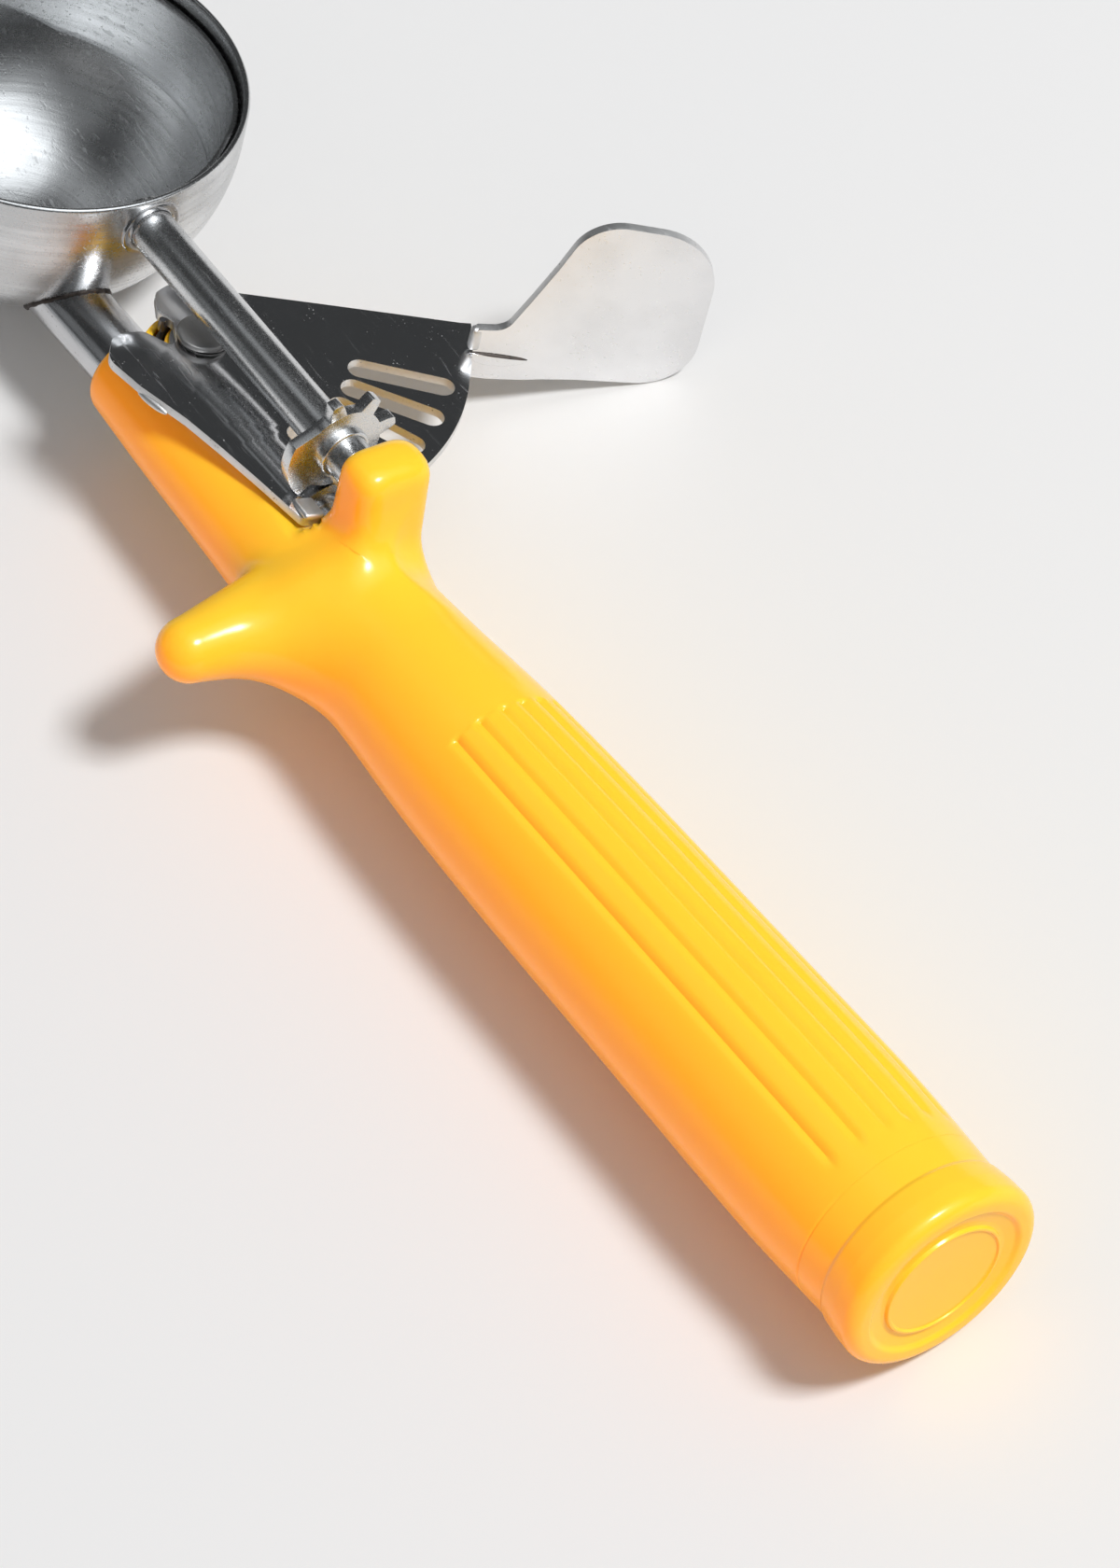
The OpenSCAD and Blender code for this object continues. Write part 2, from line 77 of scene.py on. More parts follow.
@dataclass(frozen=True)
class LayDown:
    """How the scoop lies: rolled onto its thumb pad, with bowl and end cap on the table."""

    roll: float = 21.219
    tilt: float = 0.7028169
    shift: tuple = (-94.0046, -9.31515695, 32.84709515)

    def matrix(self) -> Matrix:
        """Matrix from the working frame in millimetres to the row frame in metres."""
        turn = turn_by(-self.tilt, "Y") @ turn_by(-self.roll, "X")
        return Matrix.Scale(0.001, 4) @ at(*self.shift) @ turn


@dataclass(frozen=True)
class HandleAxis:
    """The handle's own axis: level, and turned a little in plan."""

    y: float = -6.27
    z: float = -22.3
    turn: float = 1.54

    def matrix(self) -> Matrix:
        """Matrix to the working frame from one with Z along the handle, Y left and X down."""
        return at(0, self.y, self.z) @ turn_by(self.turn, "Z") @ turn_by(90, "Y")


LAY = LayDown()
AXIS = HandleAxis()
BOWL_RADIUS = 28.0
SHAFT_RADIUS = 3.15
SHAFT_Z = -5.2
PIVOT_X = 43.0
SHEET_TOP = -11.55
SHEET_BOTTOM = -12.85
NEARLY_STRAIGHT = math.radians(89.5)
TINY = 1e-6


def shaft_frame(x: float = 0.0) -> Matrix:
    """Local frame on the sweep's axis with Z along +X."""
    return at(x, 0, SHAFT_Z) @ turn_by(90, "Y")


def pivot_frame() -> Matrix:
    """Local frame on the lever's pivot with Z up."""
    return at(PIVOT_X, 0, 0)


# ------------------------------------------------------------ modelling


def activate(piece: Optional[Piece] = None) -> None:
    """Leaves object mode on with one piece selected and active, or with none.

    Args:
        piece: the piece to select, or none.
    """
    if bpy.context.mode != "OBJECT":
        bpy.ops.object.mode_set(mode="OBJECT")
    bpy.ops.object.select_all(action="DESELECT")
    if piece is not None:
        piece.select_set(True)
        bpy.context.view_layer.objects.active = piece


def edit_all(piece: Piece) -> None:
    """Opens a piece in edit mode with everything selected.

    Args:
        piece: the piece to open.
    """
    activate(piece)
    bpy.ops.object.mode_set(mode="EDIT")
    bpy.ops.mesh.select_mode(type="VERT")
    bpy.ops.mesh.select_all(action="SELECT")


def leave_edit() -> None:
    """Goes back to object mode."""
    bpy.ops.object.mode_set(mode="OBJECT")


def tidy_shell(piece: Piece, gap: float = 1e-4, close: bool = False) -> None:
    """Merges doubles and points the faces outwards.

    Args:
        piece: the mesh to mend.
        gap: distance under which vertices are one.
        close: whether open ends get a face.
    """
    edit_all(piece)
    bpy.ops.mesh.remove_doubles(threshold=gap)
    bpy.ops.mesh.select_all(action="SELECT")
    if close:
        bpy.ops.mesh.fill_holes(sides=0)
        bpy.ops.mesh.select_all(action="SELECT")
    bpy.ops.mesh.normals_make_consistent(inside=False)
    leave_edit()


def corner(p: Point, a: Point, b: Point, r: float, n: int) -> list:
    """Points of one rounded corner.

    Args:
        p: the corner.
        a: the point before it.
        b: the point after it.
        r: rounding radius.
        n: number of steps.

    Returns:
        The points of the arc.
    """
    pv, av, bv = (np.array(q[:2], float) for q in (p, a, b))
    u, v = (av - pv) / np.linalg.norm(av - pv), (bv - pv) / np.linalg.norm(bv - pv)
    half = math.acos(max(-1.0, min(1.0, float(u @ v)))) / 2
    if half > NEARLY_STRAIGHT:
        return [tuple(pv)]
    c = pv + (u + v) / np.linalg.norm(u + v) * r / math.sin(half)
    p0, p1 = pv + u * r / math.tan(half), pv + v * r / math.tan(half)
    a0, a1 = math.atan2(*(p0 - c)[::-1]), math.atan2(*(p1 - c)[::-1])
    turn = (a1 - a0 + 3 * math.pi) % math.tau - math.pi
    return [
        (c[0] + r * math.cos(a0 + turn * i / n), c[1] + r * math.sin(a0 + turn * i / n))
        for i in range(n + 1)
    ]


def rounded(points: Sequence[Point], n: int = 4) -> list:
    """Outline whose corners are rounded by their third number.

    Args:
        points: (x, y, radius) in order.
        n: steps in each rounding.

    Returns:
        The outline's points.
    """
    out: list = []
    for i, p in enumerate(points):
        if len(p) < 3:
            out.append((p[0], p[1]))
        else:
            out += corner(p, points[i - 1], points[(i + 1) % len(points)], p[2], n)
    return out


def named(name: str) -> Piece:
    """Gives the piece just added its name.

    Args:
        name: the name.

    Returns:
        The object.
    """
    piece = bpy.context.object
    piece.name = piece.data.name = name
    return piece


def ring(name: str, points: Sequence[Point]) -> Piece:
    """A closed wire loop, from a circle whose vertices are moved to their places.

    Args:
        name: the piece's name.
        points: the loop's points, in order.

    Returns:
        The new object.
    """
    activate()
    bpy.ops.mesh.primitive_circle_add(vertices=len(points), radius=1.0, fill_type="NOTHING")
    loop = named(name)
    for vertex, p in zip(loop.data.vertices, points):
        vertex.co = p
    return loop


def join(first: Piece, others: Sequence[Piece]) -> None:
    """Joins pieces into the first one.

    Args:
        first: the piece that takes in the others.
        others: the pieces that it takes in.
    """
    activate(first)
    for other in others:
        other.select_set(True)
    bpy.ops.object.join()


def turned(name: str, profile: Sequence[Point], steps: int = 96) -> Piece:
    """A turned piece about Z.

    Args:
        name: the piece's name.
        profile: closed outline of (radius, height).
        steps: steps around.

    Returns:
        The new object.
    """
    piece = ring(name, [(r, 0.0, z) for r, z in profile])
    edit_all(piece)
    bpy.ops.mesh.select_all(action="DESELECT")
    leave_edit()
    on_axis = {v.index for v in piece.data.vertices if v.co.x < TINY}
    for edge in piece.data.edges:
        edge.select = edge.vertices[0] in on_axis and edge.vertices[1] in on_axis
    if any(e.select for e in piece.data.edges):
        bpy.ops.object.mode_set(mode="EDIT")
        bpy.ops.mesh.select_mode(type="EDGE")
        bpy.ops.mesh.delete(type="EDGE")
    edit_all(piece)
    bpy.ops.mesh.spin(steps=steps, angle=math.tau, center=(0, 0, 0), axis=(0, 0, 1))
    tidy_shell(piece)
    return piece


def cut_sheet(name: str, loops: Sequence[Sequence[Point]], low: float, high: float) -> Piece:
    """A flat piece of sheet with holes.

    Args:
        name: the piece's name.
        loops: outer outline first, then the holes.
        low: height of its lower face.
        high: height of its upper face.

    Returns:
        The new object.
    """
    rings = [ring(f"{name}_{i}", [(x, y, low) for x, y in q]) for i, q in enumerate(loops)]
    piece = rings[0]
    join(piece, rings[1:])
    piece.name = piece.data.name = name
    edit_all(piece)
    bpy.ops.mesh.fill(use_beauty=True)
    bpy.ops.mesh.select_all(action="SELECT")
    bpy.ops.mesh.extrude_region_move(TRANSFORM_OT_translate={"value": (0, 0, high - low)})
    tidy_shell(piece)
    return piece


def grid_sheet(
    name: str, rows: int, columns: int, place: Callable[[int, int], Point]
) -> Piece:
    """A surface laid out as a grid.

    Args:
        name: the piece's name.
        rows: number of rows of vertices.
        columns: number of vertices in a row.
        place: gives each vertex its place from its row and column.

    Returns:
        The new object.
    """
    activate()
    bpy.ops.mesh.primitive_grid_add(
        x_subdivisions=columns - 1, y_subdivisions=rows - 1, size=2)
    piece = named(name)
    for i, vertex in enumerate(piece.data.vertices):
        vertex.co = place(i // columns, i % columns)
    return piece


def ball(name: str, local: Matrix, segments: int = 48, rings: int = 16) -> Piece:
    """A round blank, stretched and placed by a matrix.

    Args:
        name: the piece's name.
        local: its size and place.
        segments: steps around.
        rings: steps from pole to pole.

    Returns:
        The new object.
    """
    activate()
    bpy.ops.mesh.primitive_uv_sphere_add(segments=segments, ring_count=rings, radius=1.0)
    piece = named(name)
    piece.data.transform(local)
    return piece


def block(name: str, local: Matrix, edge: float) -> Piece:
    """A blank with broken edges, sized and placed by a matrix.

    Args:
        name: the piece's name.
        local: its size and place.
        edge: width of the broken edges.

    Returns:
        The new object.
    """
    activate()
    bpy.ops.mesh.primitive_cube_add(size=1.0)
    piece = named(name)
    piece.data.transform(local)
    soften(piece, edge, 5, 50)
    return piece


def finish_with(piece: Piece, kind: str, **settings: object) -> None:
    """Adds a modifier with its settings and applies it.

    Args:
        piece: the piece it works on.
        kind: Blender's name of the modifier.
        settings: its settings by name.
    """
    activate(piece)
    modifier = piece.modifiers.new(kind.title(), kind)
    for key, value in settings.items():
        setattr(modifier, key, value)
    bpy.ops.object.modifier_apply(modifier=modifier.name)


def carve(piece: Piece, tool: Piece) -> None:
    """Cuts a tool's shape out of a piece and takes the tool away."""
    finish_with(piece, "BOOLEAN", operation="DIFFERENCE", object=tool, solver="EXACT")
    bpy.data.objects.remove(tool, do_unlink=True)


def soften(piece: Piece, width: float, segments: int, angle: float) -> None:
    """Breaks the sharp edges of a piece.

    Args:
        piece: the piece.
        width: width of the broken edge.
        segments: steps across it.
        angle: edges that turn by more than this many degrees are broken.
    """
    finish_with(
        piece, "BEVEL", width=width, segments=segments, limit_method="ANGLE",
        angle_limit=math.radians(angle), use_clamp_overlap=True)


def settle(piece: Piece, angle: float, local: Optional[Matrix] = None) -> Piece:
    """Shades a piece and lays it down in the row frame, with its place in its mesh.

    Args:
        piece: the piece, in millimetres.
        angle: edges sharper than this many degrees stay sharp.
        local: where it stands in the working frame.

    Returns:
        The same piece.
    """
    activate(piece)
    bpy.ops.object.shade_smooth_by_angle(angle=math.radians(angle))
    piece.data.transform(LAY.matrix() @ (local or Matrix.Identity(4)))
    piece.data.update()
    return piece


# ------------------------------------------------------------ shader help


class Sockets(Enum):
    """Kinds of socket that a shader group may have."""

    NUMBER = "NodeSocketFloat"
    VECTOR = "NodeSocketVector"


class Wiring:
    """A node tree with short ways to add and link its nodes."""

    def __init__(self, tree: Tree) -> None:
        """Takes the tree to build in."""
        self.tree = tree

    def node(self, kind: str, **values: object) -> bpy.types.Node:
        """Adds a node.

        Args:
            kind: Blender's name of the node, after "ShaderNode".
            values: settings by name, and inputs as in_NUMBER or in_NAME.

        Returns:
            The node.
        """
        node = self.tree.nodes.new("ShaderNode" + kind)
        for key, value in values.items():
            if key.startswith("in_"):
                label = key[3:].replace("_", " ")
                socket = node.inputs[int(label) if label.isdigit() else label]
                if isinstance(value, Socket):
                    self.tree.links.new(value, socket)
                else:
                    socket.default_value = value
            else:
                setattr(node, key, value)
        return node

    def maths(self, operation: str, *terms: object) -> Socket:
        """Adds a sum or another operation on numbers and returns its result."""
        inputs = {f"in_{i}": term for i, term in enumerate(terms)}
        return self.node("Math", operation=operation, **inputs).outputs[0]

    def noise(self, where: Socket, scale: object, detail: float = 2.0) -> Socket:
        """Adds a noise and returns its value."""
        return self.node(
            "TexNoise", in_Vector=where, in_Scale=scale, in_Detail=detail).outputs[0]

    def ramp(self, source: Socket, low: float, high: float, top: float = 1.0) -> Socket:
        """Spreads a value from low and high to 0 and top."""
        return self.node(
            "MapRange", in_0=source, in_From_Min=low, in_From_Max=high,
            in_To_Max=top).outputs[0]

    def tones(self, share: Socket, first: object, second: object) -> Socket:
        """Mixes two colours."""
        return self.node(
            "Mix", data_type="RGBA", in_0=share, in_6=first, in_7=second).outputs[2]

    def group(self, tree: Tree, **values: object) -> bpy.types.Node:
        """Places a shader group."""
        return self.node("Group", node_tree=tree, **values)

    def most(self, values: Sequence[Socket]) -> Socket:
        """The largest of several values.

        Args:
            values: the values to compare.

        Returns:
            The socket of the largest.
        """
        total = values[0]
        for value in values[1:]:
            total = self.maths("MAXIMUM", total, value)
        return total


class ShaderGroup(Wiring):
    """A shader node group under construction."""

    def __init__(self, name: str) -> None:
        """Starts an empty group of that name.

        Args:
            name: the group's name.
        """
        super().__init__(bpy.data.node_groups.new(name, "ShaderNodeTree"))
        self.entry = self.tree.nodes.new("NodeGroupInput")
        self.exit = self.tree.nodes.new("NodeGroupOutput")

    def takes(self, name: str, kind: Sockets, default: Optional[float] = None) -> Socket:
        """Adds an input and returns its socket inside the group.

        Args:
            name: its label.
            kind: its kind.
            default: its value when nothing is linked.

        Returns:
            The socket.
        """
        socket = self.tree.interface.new_socket(name, in_out="INPUT", socket_type=kind.value)
        if default is not None:
            socket.default_value = default
        return self.entry.outputs[name]

    def gives(self, name: str, source: Socket) -> None:
        """Adds an output fed by a socket inside the group.

        Args:
            name: its label.
            source: the socket that feeds it.
        """
        kind = Sockets.NUMBER.value
        self.tree.interface.new_socket(name, in_out="OUTPUT", socket_type=kind)
        self.tree.links.new(source, self.exit.inputs[name])


def build_grain_group() -> Tree:
    """Drawn grain of worked metal: fine lines along X of its vector, and a cloud.

    Returns:
        The group's tree.
    """
    g = ShaderGroup("drawn_grain")
    vector = g.takes("Vector", Sockets.VECTOR)
    scale = g.takes("Scale", Sockets.NUMBER, 1.0)
    squeeze = g.node("Mapping", in_Vector=vector, in_Scale=(0.035, 1.0, 1.0)).outputs[0]
    lines = g.node(
        "TexNoise", in_Vector=squeeze, in_Scale=scale, in_Detail=5.0, in_Roughness=0.65)
    g.gives("Lines", lines.outputs[0])
    g.gives("Cloud", g.noise(vector, scale=90.0, detail=4.0))
    return g.tree


def build_scratch_group() -> Tree:
    """Sparse hairline scratches in many directions.

    Returns:
        The group's tree.
    """
    g = ShaderGroup("hair_scratches")
    vector = g.takes("Vector", Sockets.VECTOR)
    density = g.takes("Density", Sockets.NUMBER, 0.5)
    lines = []
    directions = ((23, 1560.0), (81, 2040.0), (141, 1320.0))
    for i, (turn, size) in enumerate(directions):
        bent = g.node("TexNoise", in_Vector=vector, in_Scale=35.0 + 9 * i).outputs["Color"]
        nudge = g.node("VectorMath", operation="SCALE", in_0=bent, in_Scale=0.004).outputs[0]
        moved = g.node("VectorMath", operation="ADD", in_0=vector, in_1=nudge).outputs[0]
        stretched = g.node(
            "Mapping", in_Vector=moved, in_Rotation=(0.3 * i, 0.2, math.radians(turn)),
            in_Scale=(0.06, 1.0, 1.0))
        lines.append(g.ramp(g.noise(stretched.outputs[0], size), low=0.66, high=0.74))
    g.gives("Scratches", g.maths("MULTIPLY", g.most(lines), density))
    return g.tree


def build_speck_group() -> Tree:
    """Tiny specks, such as dust and pits.

    Returns:
        The group's tree.
    """
    g = ShaderGroup("dust_specks")
    vector = g.takes("Vector", Sockets.VECTOR)
    scale = g.takes("Scale", Sockets.NUMBER, 1500.0)
    amount = g.takes("Amount", Sockets.NUMBER, 0.5)
    cells = g.node("TexVoronoi", in_Vector=vector, in_Scale=scale).outputs["Distance"]
    spot = g.ramp(cells, low=0.22, high=0.12)
    where = g.ramp(g.noise(vector, scale=260.0, detail=3.0), low=0.48, high=0.62)
    g.gives("Specks", g.maths("MULTIPLY", g.maths("MULTIPLY", spot, where), amount))
    return g.tree


# ------------------------------------------------------------ finishes


class Surface(Wiring):
    """A material under construction, with its Principled shader and shared groups."""

    def __init__(self, name: str) -> None:
        """Starts a material with its shader linked to its output.

        Args:
            name: the material's name.
        """
        self.material = bpy.data.materials.new(name)
        self.material.use_nodes = True
        super().__init__(self.material.node_tree)
        self.tree.nodes.clear()
        self.shader = self.node("BsdfPrincipled")
        self.node("OutputMaterial", in_0=self.shader.outputs[0])
        self.where = self.node("TexCoord").outputs["Object"]

    def feed(self, **inputs: object) -> None:
        """Sets or links inputs of the shader by name.

        Args:
            inputs: values or sockets by the input's name.
        """
        for key, value in inputs.items():
            socket = self.shader.inputs[key.replace("_", " ")]
            if isinstance(value, Socket):
                self.tree.links.new(value, socket)
            else:
                socket.default_value = value

    def bump(self, height: Socket, strength: float, depth: float) -> None:
        """Feeds the shader's normal from a height."""
        bump = self.node("Bump", in_Height=height, in_Strength=strength, in_Distance=depth)
        self.feed(Normal=bump.outputs[0])


@dataclass(frozen=True)
class DullSpot:
    """A round spot that is rougher than the surface around it."""

    centre: tuple
    radius: float
    rough: float = 0.2
    inner: float = 0.9
    outer: float = 1.12


@dataclass(frozen=True)
class SteelFinish:
    """A steel surface: its colour, gloss, drawn grain, scratches and specks."""

    name: str
    colour: tuple
    dark: tuple
    gloss: float = 0.08
    spread: float = 0.06
    grain: float = 0.0
    grain_size: float = 900.0
    scratches: float = 0.4
    specks: float = 0.4
    bump: float = 0.02
    grit: float = 0.1
    rings: bool = False
    dull: Optional[DullSpot] = None
    worn: float = 0.9
    haze: float = 0.0
    streaks: float = 0.0
    speck_rough: float = 0.34
    scratch_rough: float = 0.26
    grit_rough: float = 0.3

    def material(self, groups: dict) -> bpy.types.Material:
        """Builds the material.

        Args:
            groups: the shared shader groups by name.

        Returns:
            The material.
        """
        s = Surface(self.name)
        way = self.around_bowl(s) if self.rings else s.where
        grain = s.group(groups["grain"], in_Vector=way, in_Scale=self.grain_size)
        scratch = s.group(
            groups["scratch"], in_Vector=s.where, in_Density=self.scratches).outputs[0]
        speck = s.group(groups["speck"], in_Vector=s.where, in_Amount=self.specks).outputs[0]
        lines, cloud = grain.outputs["Lines"], grain.outputs["Cloud"]
        fine = s.noise(s.where, scale=4200.0)
        shade = s.node(
            "Math", operation="ADD", use_clamp=True, in_0=s.ramp(cloud, low=0.36, high=0.64),
            in_1=s.ramp(lines, low=0.40, high=0.66, top=self.streaks)).outputs[0]
        tone = s.tones(shade, (*self.colour, 1), (*[c * self.worn for c in self.colour], 1))
        s.feed(Metallic=1.0, Base_Color=s.tones(speck, tone, (*self.dark, 1)))
        rough = s.maths("MULTIPLY_ADD", lines, self.spread, self.gloss)
        rough = s.maths("MULTIPLY_ADD", speck, self.speck_rough, rough)
        rough = s.maths("ADD", rough, s.ramp(cloud, low=0.46, high=0.66, top=self.haze))
        rough = s.maths("MULTIPLY_ADD", scratch, self.scratch_rough, rough)
        rough = s.maths("MULTIPLY_ADD", fine, self.grit * self.grit_rough, rough)
        if self.dull is not None:
            away = s.node(
                "VectorMath", operation="DISTANCE", in_0=s.where, in_1=self.dull.centre)
            rough = s.maths("ADD", rough, s.ramp(
                away.outputs["Value"], low=self.dull.radius * self.dull.outer,
                high=self.dull.radius * self.dull.inner, top=self.dull.rough))
        s.feed(Roughness=rough)
        height = s.maths("MULTIPLY_ADD", lines, self.grain, scratch)
        height = s.maths("MULTIPLY_ADD", fine, self.grit, height)
        s.bump(height, self.bump, depth=0.0002)
        return s.material

    def around_bowl(self, s: Surface) -> Socket:
        """Coordinates that run around the bowl's axis: way around, radius, height.

        Args:
            s: the material under construction.

        Returns:
            The socket of the coordinates.
        """
        back = LAY.matrix().inverted()
        own = s.node(
            "Mapping", in_Vector=s.where,
            in_Location=tuple(c * 0.001 for c in back.translation),
            in_Rotation=tuple(back.to_3x3().normalized().to_euler())).outputs[0]
        x, y, z = s.node("SeparateXYZ", in_0=own).outputs
        flat = s.node("CombineXYZ", in_0=x, in_1=y).outputs[0]
        radius = s.node("VectorMath", operation="LENGTH", in_0=flat).outputs["Value"]
        way = s.maths("MULTIPLY", s.maths("ARCTAN2", y, x), 0.02)
        return s.node("CombineXYZ", in_0=way, in_1=radius, in_2=z).outputs[0]


@dataclass(frozen=True)
class PlasticFinish:
    """Glossy moulded plastic with faint mottle and a soft depth."""

    name: str
    colour: tuple
    shade: tuple
    gloss: float = 0.2
    speck_rough: float = 0.12
    depth: float = 0.12
    shine: float = 0.34

    def material(self, groups: dict) -> bpy.types.Material:
        """Builds the material.

        Args:
            groups: the shared shader groups by name.

        Returns:
            The material.
        """
        s = Surface(self.name)
        mottle = s.noise(s.where, scale=60.0, detail=4.0)
        speck = s.group(
            groups["speck"], in_Vector=s.where, in_Scale=900.0, in_Amount=0.5).outputs[0]
        s.feed(
            Base_Color=s.tones(mottle, (*self.colour, 1), (*self.shade, 1)),
            Roughness=s.maths("MULTIPLY_ADD", speck, self.speck_rough, self.gloss),
            Subsurface_Weight=self.depth, Subsurface_Radius=(0.0022, 0.0010, 0.0004),
            Subsurface_Scale=1.0, Specular_IOR_Level=self.shine)
        s.bump(s.noise(s.where, scale=420.0, detail=3.0), strength=0.02, depth=0.0003)
        return s.material


class Finish(Enum):
    """The finishes of the scoop's pieces."""

    BOWL = SteelFinish(
        "polished_bowl", (0.78, 0.785, 0.79), (0.40, 0.39, 0.38), gloss=0.13, spread=0.16,
        grain=1.0, grain_size=1100, specks=0.3, bump=0.13, grit=0.3, rings=True, worn=0.74,
        streaks=0.6)
    SHAFT = SteelFinish(
        "bright_shaft", (0.74, 0.745, 0.75), (0.45, 0.45, 0.45), gloss=0.09, spread=0.08,
        grain=0.6, specks=0.9, bump=0.07, grit=0.9)
    PLATE = SteelFinish(
        "mirror_lever", (0.88, 0.88, 0.89), (0.95, 0.95, 0.95), gloss=0.05, spread=0.04,
        scratches=0.6, specks=1.0, bump=0.012, grit=0.15,
        dull=DullSpot((-0.0585, -0.0105, 0.0215), 0.0068), haze=0.10)
    EDGE = SteelFinish(
        "pressed_edge", (0.80, 0.80, 0.80), (0.45, 0.44, 0.43), gloss=0.26, spread=0.12,
        grain=0.2, scratches=0.5, specks=1.0, bump=0.10, grit=0.9, haze=0.1)
    ROD = SteelFinish(
        "drawn_rod", (0.62, 0.62, 0.63), (0.28, 0.25, 0.23), spread=0.08, grain=0.6,
        specks=0.7, bump=0.05, grit=0.4)
    DARK = SteelFinish(
        "dark_stud", (0.42, 0.415, 0.41), (0.6, 0.6, 0.6), gloss=0.30, spread=0.16,
        grain=0.5, specks=0.8, bump=0.10, grit=0.8)
    WIRE = SteelFinish(
        "spring_wire", (0.20, 0.20, 0.21), (0.4, 0.4, 0.4), gloss=0.25, spread=0.15,
        specks=0.6, bump=0.05)
    # Also dresses the sliver over the neck's fold, where this dark finish paints the crease's
    # shadow.
    WELD = SteelFinish(
        "weld_bead", (0.07, 0.06, 0.055), (0.30, 0.18, 0.10), gloss=0.42, spread=0.25,
        grain=1.0, specks=1.0, bump=0.5)
    HIDDEN = SteelFinish(
        "machined_steel", (0.6, 0.6, 0.61), (0.35, 0.35, 0.35), gloss=0.22, spread=0.15,
        grain=0.5, specks=0.5, bump=0.06)
    YELLOW = PlasticFinish("yellow_plastic", (1.0, 0.60, 0.036), (1.0, 0.575, 0.030))


class Slot(Enum):
    """The record's material slots."""

    SATIN = "satin_steel"
    STEEL = "steel"
    MIRROR = "mirror_steel"
    DARK = "dark_steel"
    WIRE = "spring_wire"
    WELD = "weld"
    YELLOW = "yellow_plastic"


class Palette:
    """Builds each finish once."""

    def __init__(self) -> None:
        """Builds the shared groups."""
        self.groups = {
            "grain": build_grain_group(),
            "scratch": build_scratch_group(),
            "speck": build_speck_group(),
        }
        self.made: dict = {}

    def __getitem__(self, finish: Finish) -> bpy.types.Material:
        """The material of a finish, built when first asked for."""
        if finish not in self.made:
            self.made[finish] = finish.value.material(self.groups)
        return self.made[finish]


def dress(
    piece: Piece, finish: Finish, palette: Palette, body: str, slot: Slot, stands_for: str
) -> None:
    """Gives a piece its finish, its body and the node it stands for.

    Args:
        piece: the piece, laid down.
        finish: its finish.
        palette: the built finishes.
        body: the body it moves with.
        slot: the record's material slot; not used.
        stands_for: the CAD node it replaces.
    """
    piece.data.materials.clear()
    piece.data.materials.append(palette[finish])
    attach(piece, body)
    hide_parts(stands_for)
    LOG.info("built %s", piece.name)


# ------------------------------------------------------------ fields


def blend_out(a: np.ndarray, b: np.ndarray, k: float) -> np.ndarray:
    """Intersection of two distance fields with a rounding of size k."""
    h = np.maximum(k - np.abs(a - b), 0.0) / k
    return np.maximum(a, b) + h * h * k / 4


def blend_in(a: np.ndarray, b: np.ndarray, k: float) -> np.ndarray:
    """Union of two distance fields with a fillet of size k."""
    return -blend_out(-a, -b, k)


def ease(t: np.ndarray) -> np.ndarray:
    """Smooth step of values that are cut to 0 and 1 first."""
    t = np.clip(t, 0, 1)
    return t * t * (3 - 2 * t)


def coordinates(piece: Piece) -> np.ndarray:
    """The piece's vertices as an array of rows.

    Args:
        piece: the piece.

    Returns:
        The rows of coordinates.
    """
    flat = np.empty(len(piece.data.vertices) * 3)
    piece.data.vertices.foreach_get("co", flat)
    return flat.reshape(-1, 3)


def moved(points: np.ndarray, by: Matrix) -> np.ndarray:
    """Rows of coordinates moved by a matrix."""
    m = np.array(by)
    return points @ m[:3, :3].T + m[:3, 3]


def settle_on(points: np.ndarray, distance: Callable, steps: int = 9) -> np.ndarray:
    """Moves points down a distance field's slope onto its surface.

    Args:
        points: rows of coordinates.
        distance: gives the distance of each row.
        steps: number of steps.

    Returns:
        The moved points.
    """
    probe, furthest, flattest = 0.03, 1.6, 0.05
    for _ in range(steps):
        value = distance(points)
        slope = np.stack(
            [(distance(points + probe * axis) - value) / probe for axis in np.eye(3)], axis=1
        )
        size = np.maximum((slope * slope).sum(1, keepdims=True), flattest)
        move = -value[:, None] * slope / size
        length = np.maximum(np.linalg.norm(move, axis=1, keepdims=True), 1e-9)
        points = points + move * np.minimum(1.0, furthest / length)
    return points


def extrude_to(piece: Piece, where: Callable[[Vector], Point]) -> None:
    """Extrudes the selected faces and gives each moved vertex its new place.

    Args:
        piece: the piece, with faces selected.
        where: gives the new place from the old one.
    """
    bpy.ops.object.mode_set(mode="EDIT")
    bpy.ops.mesh.extrude_region_move(TRANSFORM_OT_translate={"value": (0, 0, 0)})
    bpy.ops.object.mode_set(mode="OBJECT")
    for vertex in piece.data.vertices:
        if vertex.select:
            vertex.co = where(vertex.co.copy())


# ------------------------------------------------------------ pieces


